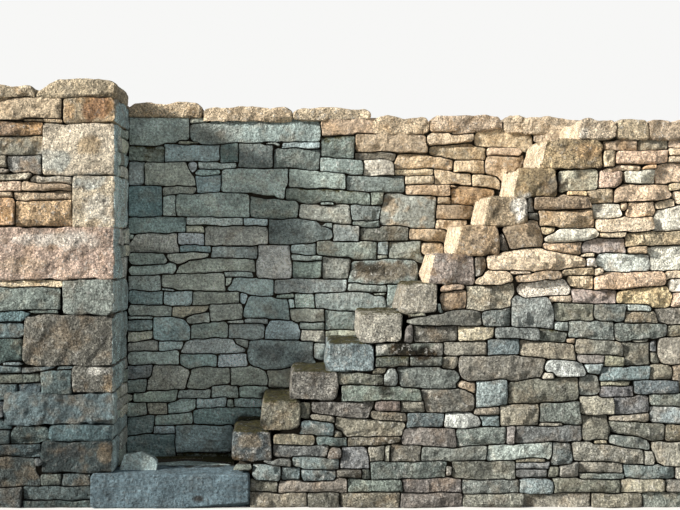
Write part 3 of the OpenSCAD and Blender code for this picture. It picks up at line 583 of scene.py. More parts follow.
class Cell:
    """A stone's room on a face: a convex outline, counterclockwise seen from outside, and its looks."""

    def __init__(self, corners, tone, fixed=False):
        self.corners = np.array(corners, float)
        self.tone = tone
        self.fixed = fixed
        edges = np.roll(self.corners, -1, axis=0) - self.corners
        lengths = np.linalg.norm(edges, axis=1)
        keep = lengths > 1e-6
        self.normals = np.stack([edges[keep, 1], -edges[keep, 0]], axis=1) / lengths[keep, None]
        self.offsets = (self.normals * self.corners[keep]).sum(axis=1)
        self.low = self.corners.min(axis=0)
        self.high = self.corners.max(axis=0)
        self.middle = self.corners.mean(axis=0)

    def reach(self, points):
        """How far points lie outside the outline, or less than 0 inside it."""
        return (points @ self.normals.T - self.offsets).max(axis=-1)

    def near(self, other):
        """Whether the other cell's box lies close to this one's."""
        return np.all(self.low - NEAR < other.high) and np.all(self.high + NEAR > other.low)


def hull(points):
    """Corners of the points' convex outline, counterclockwise."""
    ordered = sorted({(round(x, 5), round(y, 5)) for x, y in points})

    def chain(row):
        """One side of the outline, without the points that lie inside it."""
        kept = []
        for x, y in row:
            while len(kept) > 1:
                (ax, ay), (bx, by) = kept[-2:]
                if (bx - ax) * (y - ay) - (by - ay) * (x - ax) > 0:
                    break
                kept.pop()
            kept.append((x, y))
        return kept

    return chain(ordered)[:-1] + chain(ordered[::-1])[:-1]


def photo_cells(face, rows):
    """Cells for stones read from the photograph."""
    cells = []
    for row in rows:
        if isinstance(row[0], str):
            tone, pixels = row[0], row[1:]
        else:
            left, right, top_left, top_right, low_left, low_right, tone = row
            pixels = [(left, top_left), (right, top_right), (right, low_right), (left, low_left)]
        cells.append(Cell(hull([face.pixel(px, py) for px, py in pixels]), tone))
    return cells


def box_cell(low_u, low_v, high_u, high_v, tone="grey", fixed=False, skew=(0, 0, 0, 0)):
    """Cell with four corners, each moved up by its skew: low left, low right, high right, high left."""
    corners = ((low_u, low_v), (high_u, low_v), (high_u, high_v), (low_u, high_v))
    return Cell([(u, v + rise) for (u, v), rise in zip(corners, skew)], tone, fixed)


def coursed_cells(low_u, high_u, low_v, high_v, course, length=(0.18, 0.5), tones=WARM_TONES):
    """Cells in uneven courses over a rectangle of a face. course and length are spans of their size."""
    heights = []
    while sum(heights) < high_v - low_v:
        heights.append(RNG.uniform(*course))
    scale = (high_v - low_v) / sum(heights)
    cells = []
    bed = low_v
    for height in heights:
        top = bed + height * scale
        start = low_u
        while start < high_u - 1e-4:
            size = RNG.uniform(*length)
            end = start + size
            if high_u - end < length[0] * 0.8:
                end = high_u
            skew = RNG.uniform(-0.006, 0.006, 4)
            tone = tones[RNG.integers(len(tones))]
            if RNG.random() < 0.16 and top - bed > 0.11:
                split = bed + (top - bed) * RNG.uniform(0.35, 0.65)
                other = tones[RNG.integers(len(tones))]
                cells.append(box_cell(start, bed, end, split, tone, skew=skew))
                cells.append(box_cell(start, split, end, top, other, skew=skew))
            else:
                cells.append(box_cell(start, bed, end, top, tone, skew=skew))
            start = end
        bed = top
    return cells


def extended(cells, edge, end):
    """Cells that cross a vertical edge are drawn out past it, and their bands go on to the wall's end."""
    side = 1 if end > edge else -1
    made = []
    kept = []
    for cell in cells:
        far = cell.high[0] if side > 0 else cell.low[0]
        if cell.fixed or (far - edge) * side < 0:
            kept.append(cell)
            continue
        at_edge = cell.corners[:, 0] * side > (far * side - 0.02)
        band_low = cell.corners[at_edge, 1].min()
        band_high = cell.corners[at_edge, 1].max()
        shift = RNG.uniform(0.0, 0.16) * side
        corners = cell.corners.copy()
        corners[at_edge, 0] += shift
        kept.append(Cell(corners, cell.tone))
        start = far + shift
        while (end - start) * side > 0.02:
            size = RNG.uniform(1.4, 3.2) * min(max(band_high - band_low, 0.09), 0.2)
            stop = start + size * side
            if (end - stop) * side < 0.1:
                stop = end
            low_u, high_u = min(start, stop), max(start, stop)
            skew = RNG.uniform(-0.008, 0.008, 4)
            tone = WARM_TONES[RNG.integers(len(WARM_TONES))]
            made.append(box_cell(low_u, band_low, high_u, band_high, tone, skew=skew))
            start = stop
    return kept + made


def within_model(points):
    """Points kept inside the box of the frame's solids."""
    return np.clip(points, np.array(cad_bounds[0]) + BOX_MARGIN, np.array(cad_bounds[1]) - BOX_MARGIN)


class Heap:
    """Collects stones into one mesh with a tint and a weathering for each."""

    def __init__(self):
        self.points = []
        self.faces = []
        self.tints = []
        self.wears = []
        self.count = 0

    def add(self, points, faces, shade, tint, wear):
        """Adds a stone. Its shade dims or brightens the tint's colour at each point, but not its grain."""
        self.points.append(points)
        self.faces.extend([[i + self.count for i in face] for face in faces])
        self.tints.append(tint * shade[:, None] ** np.array([1, 1, 1, 0]))
        self.wears.append(np.tile(wear, (len(points), 1)))
        self.count += len(points)

    def build(self, name, slot, nodes, seen=False):
        """Makes the piece. One that the photograph shows gets its patches."""
        mesh = bpy.data.meshes.new(name)
        mesh.from_pydata(within_model(np.concatenate(self.points)).tolist(), [], self.faces)
        piece = bpy.data.objects.new(name, mesh)
        bpy.context.scene.collection.objects.link(piece)
        tints = np.concatenate(self.tints)
        if seen:
            tints = patched(np.concatenate(self.points), tints)
        paint(mesh, tints, np.concatenate(self.wears))
        mesh.shade_smooth()
        mesh.set_sharp_from_angle(angle=SHARP_ANGLE)
        dress(piece, nodes, STONE)


def paint(mesh, tints, wears):
    """Writes the tint and the weathering of each point to the mesh. Tints that are too bright are dimmed."""
    tints = tints.copy()
    tints[:, :3] *= np.minimum(BRIGHTEST / tints[:, :3].max(axis=1, keepdims=True), 1)
    for name, values in (("tint", tints), ("wear", wears)):
        layer = mesh.attributes.new(name, "FLOAT_COLOR", "POINT")
        layer.data.foreach_set("color", np.ascontiguousarray(values, np.float32).ravel())


def dress(piece, nodes, material):
    """Gives a piece its material and its place in the frame."""
    piece.data.materials.clear()
    piece.data.materials.append(material)
    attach(piece, "root")
    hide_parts(*nodes)


def stone_looks(tone, grain, moss=0.0, rust=0.45, dark=0.2, ground="sunny", gain=1.0, spread=0.26):
    """Tint and weathering of one stone, varied a little. The latter is moss, rust, lichen and dark stains.
    The ground and gain mostly paint sunlight and shade into the tint.
    """
    if tone in ("white", "ice"):
        spread *= 0.4
    colour = linear_colour(tone, ground) * gain * RNG.uniform(1 - spread, 1 + spread)
    colour = colour * (1 + RNG.uniform(-0.03, 0.03, 3))
    lichen = 0.45
    if tone in ("mottled", "slate"):
        dark = 0.9
    if tone in ("rust", "ochre"):
        rust = 0.9 if tone == "rust" else 0.6
    if tone == "moss":
        moss, dark = 0.72, 0.7
    if tone == "green":
        moss = max(moss, 0.5)
    if ground in ("foot_shade", "bare"):
        lichen *= 0.2
    if ground in ("grey_shade", "foot_shade", "shady"):
        rust *= 0.45
    tint = np.append(colour, np.clip(grain + RNG.uniform(-0.2, 0.2), 0, 1))
    rust *= RNG.uniform(0.4, 1.4)
    lichen *= RNG.uniform(0.3, 1.6)
    dark *= RNG.uniform(0.4, 1.3)
    return tint, np.clip(np.array([moss, rust, lichen, dark]), 0, 1)


def spaced(length, spacing):
    """Places from 0 to 1 along an edge, close together near its ends."""
    near = min(FIRST_ROW / length, 0.08)
    if spacing >= COARSE_GRID:
        count = max(int(round(length / spacing)), 1)
        return np.concatenate([[0], np.linspace(near, 1 - near, count + 1), [1]])
    next_near = min(SECOND_ROW / length, 0.2)
    inner = max(int(round(length * (1 - 2 * next_near) / spacing)), 1)
    middle = np.linspace(next_near, 1 - next_near, inner + 1)
    return np.concatenate([[0, near], middle, [1 - near, 1]])


def rim_and_start(cell, s_places, t_places):
    """Points around the cell's box, counterclockwise from its low left, and where the ray to each starts."""
    low, high = cell.low, cell.high
    size = high - low
    bottom = np.stack([low[0] + s_places * size[0], np.full(len(s_places), low[1])], axis=1)
    top = bottom[::-1] + np.array([0, size[1]])
    right = np.stack([np.full(len(t_places), high[0]), low[1] + t_places * size[1]], axis=1)
    left = right[::-1] - np.array([size[0], 0])
    rim = np.concatenate([bottom[:-1], right[:-1], top[:-1], left[:-1]])
    inset = 0.45 * size.min()
    start = np.clip(rim, low + inset, high - inset)
    for _ in range(6):
        outside = cell.reach(start) > -0.15 * size.min()
        start[outside] += (cell.middle - start[outside]) * 0.35
    return rim, start


def room_to_grow(cell, rivals, spots, limits, joint):
    """How far each spot lies inside what a stone may fill, or less than 0 past a joint or a limit."""
    own_shift = limits[0] * 3.7 if limits else 0
    lifted = np.column_stack([spots, np.full(len(spots), own_shift)])
    warped = spots + np.stack([layered(smooth_noise, lifted, layers) for layers in EDGE_LAYERS], axis=1)
    own = cell.reach(warped)
    room = GROWTH - own
    for rival in rivals:
        room = np.minimum(room, rival.reach(warped) - own - joint)
    if limits:
        low_u, low_v, high_u, high_v = limits
        room = np.minimum(room, np.minimum(spots[:, 0] - low_u, high_u - spots[:, 0]))
        room = np.minimum(room, np.minimum(spots[:, 1] - low_v, high_v - spots[:, 1]))
    return room


def cell_outline(cell, rivals, s_places, t_places, limits, joint):
    """Outline of a stone in its cell, as points around a grid's rim, grown until it meets its rivals."""
    rim, start = rim_and_start(cell, s_places, t_places)
    run = rim - start
    distance = np.linalg.norm(run, axis=1)
    way = run / distance[:, None]
    inside = np.linspace(0, 1, 11)[:, None] * distance
    beyond = distance + np.linspace(0.002, 0.03, 12)[:, None]
    steps = np.concatenate([inside, beyond])
    track = start + way * steps[:, :, None]
    room = room_to_grow(cell, rivals, track.reshape(-1, 2), limits, joint).reshape(steps.shape)
    outside = room < 0
    outside[-1] = True
    first = outside.argmax(axis=0)
    before = np.maximum(first - 1, 0)
    columns = np.arange(len(rim))
    gap_before = room[before, columns]
    gap_first = room[first, columns]
    share = np.clip(gap_before / np.maximum(gap_before - gap_first, 1e-9), 0, 1)
    length = steps[before, columns] + (steps[first, columns] - steps[before, columns]) * share
    outline = start + way * length[:, None]
    return (np.roll(outline, 1, axis=0) + 4 * outline + np.roll(outline, -1, axis=0)) / 6


def front_grid(outline, s_places, t_places):
    """Points spread over a stone's front between the four sides of its outline."""
    ns, nt = len(s_places), len(t_places)
    bottom = outline[0:ns]
    right = outline[ns - 1 : ns + nt - 1]
    top = outline[ns + nt - 2 : 2 * ns + nt - 2][::-1]
    left = np.concatenate([outline[2 * ns + nt - 3 :], outline[:1]])[::-1]
    s = s_places[:, None, None]
    t = t_places[None, :, None]
    grid = (
        (1 - t) * bottom[:, None] + t * top[:, None] + (1 - s) * left[None] + s * right[None]
        - (1 - s) * (1 - t) * bottom[0] - s * (1 - t) * bottom[-1]
        - (1 - s) * t * top[0] - s * t * top[-1]
    )
    return grid.reshape(-1, 2)


def front_lift(grid, s_places, t_places, rough, spread, reach):
    """How far the points of a stone's front stand out of the face, and their places in its noise.

    The front bulges, leans, is cut by three planes and broken all over. Its arrises are rounded.
    """
    along = np.minimum(s_places, 1 - s_places)[:, None] * spread[0]
    across = np.minimum(t_places, 1 - t_places)[None, :] * spread[1]
    inward = np.minimum(along, across).ravel()
    rounding = min(ROUNDING, 0.3 * spread.min())
    drop = RNG.uniform(0.002, 0.007) * (1 - np.minimum(inward / rounding, 1)) ** 1.6
    crown = (4 * s_places * (1 - s_places))[:, None] * (4 * t_places * (1 - t_places))[None, :]
    bulge = RNG.uniform(-0.1, 0.5) * rough * crown.ravel()
    from_middle = grid - grid.mean(axis=0)
    tilt = RNG.uniform(-1, 1, 2) * rough * 0.5 / np.maximum(spread, SMALL_STONE)
    proud = RNG.uniform(-1.2, 0.8) * rough
    cut_depth = rough * min(spread.min() / SMALL_STONE, 1)
    cuts = np.zeros(len(grid))
    for _ in range(3):
        turn = RNG.uniform(0, 2 * math.pi)
        toward_cut = from_middle / (spread / 2) @ np.array([math.cos(turn), math.sin(turn)])
        past = toward_cut - RNG.uniform(0.1, 0.75)
        cuts += np.maximum(past, 0) * RNG.uniform(0.3, 1.9) * cut_depth
    solid = np.column_stack([grid, np.full(len(grid), RNG.uniform(0, 50))])
    fade = 0.4 + 0.6 * np.minimum(inward / 0.02, 1)
    broken = layered(facet_noise, solid, STONE_LAYERS) * rough * fade
    lift = np.maximum(proud + from_middle @ tilt + bulge - drop - cuts + broken, DEEPEST)
    above = np.maximum(lift - reach + EASE, 0)
    return np.where(above > 0, reach - EASE + EASE * np.tanh(above / EASE), lift), solid


def side_rings(face, rim, rim_lift):
    """Two rings of points behind a stone's rim, each drawn in: one close to the front, one at the back."""
    toward = rim.mean(axis=0) - rim
    toward /= np.maximum(np.linalg.norm(toward, axis=1), 1e-6)[:, None]
    rings = []
    for inset, depth in ((0.002, 0.028), (0.012, STONE_DEPTH)):
        ring = rim + toward * inset
        rings.append(face.place(ring[:, 0], ring[:, 1], np.minimum(rim_lift, 0) - depth))
    return rings


def closed_faces(ns, nt, rim_index):
    """Faces of a stone: its front's grid, two bands of sides and the back."""
    faces = []
    for i in range(ns - 1):
        for j in range(nt - 1):
            a = i * nt + j
            faces.append([a, a + nt, a + nt + 1, a + 1])
    count = len(rim_index)
    rings = [rim_index, ns * nt + np.arange(count), ns * nt + count + np.arange(count)]
    for outer, inner in zip(rings[:-1], rings[1:]):
        for k in range(count):
            after = (k + 1) % count
            faces.append([int(outer[after]), int(outer[k]), int(inner[k]), int(inner[after])])
    faces.append([int(i) for i in rings[-1][::-1]])
    return faces


def stone_mesh(face, outline, s_places, t_places, rough):
    """Closed mesh of a face stone: a broken front with rounded arrises, and sides that run back."""
    ns, nt = len(s_places), len(t_places)
    grid = front_grid(outline, s_places, t_places)
    spread = outline.max(axis=0) - outline.min(axis=0)
    lift, solid = front_lift(grid, s_places, t_places, rough, spread, face.reach)
    rim_index = np.concatenate([
        np.arange(ns - 1) * nt,
        (ns - 1) * nt + np.arange(nt - 1),
        np.arange(ns - 1, 0, -1) * nt + nt - 1,
        np.arange(nt - 1, 0, -1),
    ])
    front = face.place(grid[:, 0], grid[:, 1], lift)
    points = np.concatenate([front] + side_rings(face, grid[rim_index], lift[rim_index]))
    # The sides get painted shade; the front's facets vary in tone at random.
    shade = np.full(len(points), SIDE_SHADE)
    shade[: len(front)] = tonal_facets(solid)
    return points, closed_faces(ns, nt, rim_index), shade


def lay(heap, face, cells, limits, grain, rough, spacing=FINE_GRID, joint=JOINT, moss=0.0, ground=PLAIN):
    """Lays a stone in each cell of a face. ground is a ground colour and a gain, mostly painted sunlight and
    shade, or gives them.
    """
    for cell in cells:
        if cell.fixed:
            continue
        rivals = [other for other in cells if other is not cell and other.near(cell)]
        if any(other.reach(cell.middle[None])[0] < 0 and other.fixed for other in rivals):
            continue
        size = cell.high - cell.low
        s_places = spaced(size[0], spacing)
        t_places = spaced(size[1], spacing)
        outline = cell_outline(cell, rivals, s_places, t_places, limits, joint)
        if (outline.max(axis=0) - outline.min(axis=0)).min() < SMALLEST:
            continue
        here, gain = ground(cell.middle) if callable(ground) else ground
        relief = rough * (1.35 if here == "sunny" else 0.9)
        points, faces, shade = stone_mesh(face, outline, s_places, t_places, relief)
        tint, wear = stone_looks(cell.tone, grain, moss, ground=here, gain=gain)
        heap.add(points, faces, shade, tint, wear)


def node_cells(face, names, axis):
    """Fixed cells where the frame's large stones stand in a face that runs along the given axis."""
    cells = []
    side = face.along[axis]
    for name in names:
        low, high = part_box(name)
        ends = sorted([low[axis] * side, high[axis] * side])
        cells.append(box_cell(ends[0], low.z, ends[1], high.z, fixed=True))
    return cells


def remeshed(name, node, voxel):
    """A mesh of even small faces over a copy of a node's solid."""
    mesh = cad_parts[node].data.copy()
    piece = bpy.data.objects.new(name, mesh)
    bpy.context.scene.collection.objects.link(piece)
    change = piece.modifiers.new("even", "REMESH")
    change.mode = "VOXEL"
    change.voxel_size = voxel
    graph = bpy.context.evaluated_depsgraph_get()
    even = bpy.data.meshes.new_from_object(piece.evaluated_get(graph))
    piece.modifiers.clear()
    piece.data = even
    even.name = name
    bpy.data.meshes.remove(mesh)
    return piece


def mesh_points(mesh):
    """Places of a mesh's points, n by 3."""
    points = np.zeros(len(mesh.vertices) * 3, np.float32)
    mesh.vertices.foreach_get("co", points)
    return points.reshape(-1, 3).astype(float)


def mesh_normals(mesh):
    """Directions out of a mesh at its points, n by 3."""
    normals = np.zeros(len(mesh.vertices) * 3, np.float32)
    mesh.vertex_normals.foreach_get("vector", normals)
    return normals.reshape(-1, 3).astype(float)


def set_points(mesh, points):
    """Moves a mesh's points to new places."""
    mesh.vertices.foreach_set("co", np.ascontiguousarray(points, np.float32).ravel())
    mesh.update()


def soften(mesh):
    """Rounds the arrises by moving each point halfway towards the mean of its neighbours."""
    edges = np.zeros(len(mesh.edges) * 2, np.int32)
    mesh.edges.foreach_get("vertices", edges)
    edges = edges.reshape(-1, 2)
    points = mesh_points(mesh)
    degree = np.bincount(edges.ravel(), minlength=len(points))[:, None]
    total = np.zeros_like(points)
    np.add.at(total, edges[:, 0], points[edges[:, 1]])
    np.add.at(total, edges[:, 1], points[edges[:, 0]])
    set_points(mesh, (points + total / degree) / 2)


def spalled(points, chips):
    """Points of a block with its corners and arrises broken off along planes. chips is the usual depth."""
    low, high = points.min(axis=0), points.max(axis=0)
    middle, half = (low + high) / 2, (high - low) / 2
    for ends in BREAKABLE:
        way = np.array(ends) * RNG.uniform(0.6, 1.4, 3) + RNG.uniform(-0.12, 0.12, 3)
        way /= np.linalg.norm(way)
        depth = RNG.uniform(-0.4, 1.0) * chips * (0.4 if 0 in ends else 1.7)
        beyond = (points - middle - half * np.array(ends)) @ way + depth
        points = points - np.outer(np.maximum(beyond, 0), way)
    return points


def hewn_block(
    node, slot, tone, grain=0.7, rough=0.014, moss=0.0, chips=0.016, taper=0.0, ground="block", side=None,
    **looks
):
    """A large stone: the frame's solid with worn arrises and a broken surface.

    taper draws the left edge of its top in. side is the way along x in which one side faces, and the tone,
    ground colour and gain of that side, which paint sunlight onto the steps' left ends and shade onto the
    quoins' sides on the return.
    """
    piece = remeshed(node + "_stone", node, BLOCK_GRID)
    soften(piece.data)
    points = mesh_points(piece.data)
    normals = mesh_normals(piece.data)
    low, high = points.min(axis=0), points.max(axis=0)
    share = (points - low) / (high - low)
    points[:, 0] += taper * share[:, 2] * (1 - share[:, 0])
    own = points + RNG.uniform(-40, 40)
    points = spalled(points, chips)
    lift = np.minimum(layered(facet_noise, own, BLOCK_LAYERS), 0.5) * rough - BLOCK_SHRINK
    set_points(piece.data, within_model(points + normals * lift[:, None]))
    tint, wear = stone_looks(tone, grain, moss, ground=ground, spread=0.05, **looks)
    tints = np.tile(tint, (len(points), 1))
    if side:
        way, side_tone, side_ground, side_gain = side
        # Painted sunlight on a step's left end, painted shade on a quoin's side towards the return.
        tints[normals[:, 0] * way > 0.6, :3] = linear_colour(side_tone, side_ground) * side_gain
    tints[:, :3] *= tonal_facets(own)[:, None] ** 1.5
    if "coping" not in node:
        tints = patched(points, tints)
    paint(piece.data, tints, np.tile(wear, (len(points), 1)))
    piece.data.shade_smooth()
    piece.data.set_sharp_from_angle(angle=SHARP_ANGLE)
    dress(piece, [node], STONE)


def hearting(node, inset):
    """The rubble core of a wall, behind its face stones."""
    piece = remeshed(node + "_hearting", node, HEARTING_GRID)
    points = mesh_points(piece.data)
    normals = mesh_normals(piece.data)
    lumps = layered(facet_noise, points, HEARTING_LAYERS)
    sideways = normals * np.array([1, 1, 0])
    moved = points + sideways * (lumps - inset)[:, None]
    sunk, foot = 0.006, 0.004
    moved[:, 2] = np.maximum(moved[:, 2] - sunk, foot)
    set_points(piece.data, within_model(moved))
    piece.data.shade_smooth()
    dress(piece, [node], HEARTING)


def node_maker(tree):
    """Short way to add linked nodes to a tree."""

    def make(kind, settings=None, inputs=None):
        """A new node. Each of its inputs is a plain value or another node's output."""
        node = tree.nodes.new(kind)
        for key, value in (settings or {}).items():
            setattr(node, key, value)
        for key, value in (inputs or {}).items():
            if hasattr(value, "links"):
                tree.links.new(value, node.inputs[key])
            else:
                node.inputs[key].default_value = value
        return node

    return make


class StoneNodes:
    """Short ways to add the nodes of the stone material. Its textures lie in the object's own space."""

    def __init__(self, tree):
        self.make = node_maker(tree)
        self.place = self.make("ShaderNodeTexCoord").outputs["Object"]

    def noise(self, scale, detail, roughness=0.6, vector=None):
        """Clouds of the given scale, about 0.5."""
        place = self.place if vector is None else vector
        inputs = {"Vector": place, "Scale": scale, "Detail": detail, "Roughness": roughness}
        return self.make("ShaderNodeTexNoise", inputs=inputs).outputs["Fac"]

    def voronoi(self, scale):
        """Cells around scattered places."""
        inputs = {"Vector": self.place, "Scale": scale}
        return self.make("ShaderNodeTexVoronoi", {"feature": "F1"}, inputs).outputs

    def channels(self, colour):
        """The red, green and blue of a colour."""
        return self.make("ShaderNodeSeparateColor", inputs={"Color": colour}).outputs

    def maths(self, operation, first, second):
        """What the operation makes of two numbers."""
        return self.make("ShaderNodeMath", {"operation": operation}, {0: first, 1: second}).outputs[0]

    def times(self, first, second):
        """A product of two numbers."""
        return self.maths("MULTIPLY", first, second)

    def plus(self, first, second):
        """A sum of two numbers."""
        return self.maths("ADD", first, second)

    def vectors(self, operation, first, second):
        """What the operation makes of two vectors."""
        return self.make("ShaderNodeVectorMath", {"operation": operation}, {0: first, 1: second}).outputs

    def span(self, value, low, high, to_low=0.0, to_high=1.0):
        """The value, moved from one span to another and held inside it."""
        ends = {"From Min": low, "From Max": high, "To Min": to_low, "To Max": to_high}
        return self.make("ShaderNodeMapRange", {"clamp": True}, {"Value": value, **ends}).outputs[0]

    def mixed(self, factor, first, second, blend="MIX"):
        """The first colour, drawn towards the second."""
        settings = {"data_type": "RGBA", "blend_type": blend}
        return self.make("ShaderNodeMix", settings, {0: factor, 6: first, 7: second}).outputs[2]

    def shaded(self, under, level, factor=1.0):
        """The colour, darker or lighter by the level."""
        grey = self.make("ShaderNodeCombineColor", inputs={"Red": level, "Green": level, "Blue": level})
        return self.mixed(factor, under, grey.outputs[0], "MULTIPLY")


def veined(nodes, colour, grain, fine, cloudy, beds):
    """Adds clouds, dark beds in fine stone, and pale and dark crystals in coarse stone."""
    broad = nodes.span(nodes.noise(5.0, 4.0), 0.3, 0.7, 0.76, 1.22)
    colour = nodes.shaded(colour, nodes.times(broad, nodes.span(cloudy, 0.3, 0.7, 0.84, 1.16)))
    bedded = nodes.times(nodes.span(beds, 0.52, 0.72), nodes.times(fine, 0.32))
    colour = nodes.mixed(bedded, colour, (0.12, 0.115, 0.10, 1))
    crystal = nodes.channels(nodes.voronoi(135.0)["Color"])
    pale = nodes.span(crystal["Green"], 0.66, 0.84, 0.0, 0.6)
    dark = nodes.span(crystal["Red"], 0.78, 0.90, 0.0, 0.6)
    speckle = nodes.times(nodes.maths("SUBTRACT", pale, dark), grain)
    return nodes.shaded(colour, nodes.plus(1.0, speckle))


def stained(nodes, colour, rust, soot, lichen):
    """Adds patches of rust, soot and lichen."""
    for share, scale, detail, roughness, threshold, stain in (
        (rust, 8.0, 2.5, 0.55, 0.50, (0.43, 0.26, 0.11, 1)),
        (soot, 13.0, 6.0, 0.7, 0.50, (0.055, 0.052, 0.045, 1)),
        (lichen, 30.0, 4.0, 0.7, 0.56, (0.74, 0.73, 0.68, 1)),
    ):
        patch = nodes.span(nodes.noise(scale, detail, roughness), threshold, 0.64)
        colour = nodes.mixed(nodes.times(nodes.times(patch, share), 0.75), colour, stain)
    return colour


def mossed(nodes, colour, moss, cloudy):
    """Adds moss, most of all to what faces up."""
    normal = nodes.make("ShaderNodeNewGeometry").outputs["Normal"]
    facing = nodes.make("ShaderNodeSeparateXYZ", inputs={"Vector": normal}).outputs["Z"]
    flat = nodes.span(facing, -0.2, 0.8, 0.0, 0.35)
    level = nodes.plus(nodes.plus(nodes.noise(16.0, 6.0, 0.72), flat), nodes.times(moss, 0.45))
    share = nodes.times(nodes.span(level, 0.86, 1.04), nodes.span(moss, 0.0, 0.25))
    moss_colour = nodes.mixed(cloudy, (0.020, 0.026, 0.010, 1), (0.10, 0.085, 0.025, 1))
    return nodes.mixed(share, colour, moss_colour)


def grit_and_painted_hollows(nodes, colour, grain, coarse):
    """Darkens the relief's hollows, as dirt and painted shade, lightens its ridges as painted highlight, and
    adds grit and small black holes.
    """
    # coarse is also the relief's height, so this is painted shade in the hollows and painted highlight on the
    # ridges.
    colour = nodes.shaded(colour, nodes.span(coarse, 0.37, 0.60, 0.42, 1.40), 0.85)
    grit = nodes.span(nodes.noise(90.0, 2.0, 0.7), 0.34, 0.66, 0.50, 1.50)
    colour = nodes.shaded(colour, grit, nodes.plus(0.2, nodes.times(grain, 0.8)))
    holes = nodes.voronoi(44.0)
    depth = nodes.span(holes["Distance"], 0.12, 0.26, 0.7, 0.0)
    chosen = nodes.span(nodes.channels(holes["Color"])["Red"], 0.6, 0.66)
    return nodes.mixed(nodes.times(depth, chosen), colour, (0.03, 0.03, 0.026, 1))


def stone_relief(nodes, grain, fine, coarse, beds):
    """Height of the stone's surface, with beds in fine stone and chips and pits in coarse stone."""
    chips = nodes.voronoi(27.0)
    tilt = nodes.vectors("SUBTRACT", chips["Color"], (0.5, 0.5, 0.5))[0]
    away = nodes.vectors("SUBTRACT", nodes.place, chips["Position"])[0]
    relief = nodes.times(coarse, 0.75)
    for height, amount in (
        (beds, nodes.times(fine, 0.5)),
        (nodes.noise(30.0, 4.0), 1.9),
        (nodes.vectors("DOT_PRODUCT", tilt, away)["Value"], nodes.plus(10.0, nodes.times(grain, 42.0))),
        (nodes.voronoi(120.0)["Distance"], nodes.times(grain, 0.55)),
    ):
        relief = nodes.plus(relief, nodes.times(height, amount))
    return relief


def stone_material():
    """Weathered stone. Tint and weathering come from the mesh, grain and stains from noise."""
    material = bpy.data.materials.new("stone")
    material.use_nodes = True
    material.node_tree.nodes.clear()
    nodes = StoneNodes(material.node_tree)
    tint = nodes.make("ShaderNodeAttribute", {"attribute_name": "tint"}).outputs
    wear = nodes.make("ShaderNodeAttribute", {"attribute_name": "wear"}).outputs
    moss_rust_lichen = nodes.channels(wear["Color"])
    moss, rust, lichen = (moss_rust_lichen[name] for name in ("Red", "Green", "Blue"))
    grain = tint["Alpha"]
    fine = nodes.maths("SUBTRACT", 1.0, grain)
    cloudy = nodes.noise(22.0, 5.0, 0.65)
    coarse = nodes.noise(58.0, 6.0, 0.8)
    flattened = nodes.make("ShaderNodeMapping", inputs={"Vector": nodes.place, "Scale": (5.0, 5.0, 75.0)})
    beds = nodes.noise(1.0, 3.0, 0.6, flattened.outputs[0])
    colour = veined(nodes, tint["Color"], grain, fine, cloudy, beds)
    colour = stained(nodes, colour, rust, wear["Alpha"], lichen)
    colour = mossed(nodes, colour, moss, cloudy)
    colour = grit_and_painted_hollows(nodes, colour, grain, coarse)
    relief = stone_relief(nodes, grain, fine, coarse, beds)
    bump = nodes.make("ShaderNodeBump", inputs={"Strength": 1.0, "Distance": 0.031, "Height": relief})
    roughness = nodes.span(cloudy, 0.3, 0.7, 0.78, 0.95)
    shader = nodes.make("ShaderNodeBsdfPrincipled", inputs={
        "Base Color": colour, "Roughness": roughness, "Normal": bump.outputs[0], "Specular IOR Level": 0.25})
    nodes.make("ShaderNodeOutputMaterial", inputs={"Surface": shader.outputs[0]})
    return material


def hearting_material():
    """Rubble and earth deep in the joints, near black: partly their own dark colour, partly painted shade."""
    material = bpy.data.materials.new("hearting")
    material.use_nodes = True
    tree = material.node_tree
    make = node_maker(tree)
    place = make("ShaderNodeTexCoord").outputs["Object"]
    patches = make("ShaderNodeTexNoise", inputs={"Vector": place, "Scale": 24.0, "Detail": 5.0})
    ramp = make("ShaderNodeValToRGB", inputs={"Fac": patches.outputs["Fac"]})
    # Near black, partly painted shade deep in the joints.
    ramp.color_ramp.elements[0].color = (0.012, 0.011, 0.009, 1)
    ramp.color_ramp.elements[1].color = (0.09, 0.075, 0.055, 1)
    bump = make("ShaderNodeBump", inputs={
        "Strength": 0.8, "Distance": 0.02, "Height": patches.outputs["Fac"]})
    shader = tree.nodes["Principled BSDF"]
    tree.links.new(ramp.outputs["Color"], shader.inputs["Base Color"])
    tree.links.new(bump.outputs[0], shader.inputs["Normal"])
    shader.inputs["Roughness"].default_value = 0.95
    shader.inputs["Specular IOR Level"].default_value = 0.1
    return material


STONE = stone_material()
HEARTING = hearting_material()

FRONT = Face((0, FRONT_Y, 0), (1, 0, 0), BATTER, reach=0.022)
BEHIND = Face((0, BACK_Y, 0), (1, 0, 0), BATTER, reach=0.02)
RETURN = Face((CORNER_X, 0, 0), (0, 1, 0), reach=0.01)
LEFT_END = Face((LEFT_LOW.x, 0, 0), (0, -1, 0))
RIGHT_END = Face((RIGHT_HIGH.x, 0, 0), (0, 1, 0))
TAIL_END = Face((BACK_LOW.x, 0, 0), (0, -1, 0))
FLIGHT_END = Face((BACK_HIGH.x, 0, 0), (0, 1, 0))
LEFT_REAR = Face((0, LEFT_HIGH.y, 0), (-1, 0, 0))
BACK_REAR = Face((0, BACK_HIGH.y, 0), (-1, 0, 0))
RIGHT_REAR = Face((0, RIGHT_HIGH.y, 0), (-1, 0, 0))
LANDING_TOP = Face((0, 0, LANDING_HIGH.z), (1, 0, 0), up=(0, 1, 0))

QUOINS = ["quoin_%d" % k for k in range(1, QUOIN_COUNT + 1)]
STEPS = ["step_%d" % k for k in range(1, STEP_COUNT + 1)]
PHOTO_LEFT = FRONT.pixel(0, VANISHING_Y)[0]
PHOTO_RIGHT = FRONT.pixel(IMAGE_WIDTH, VANISHING_Y)[0]


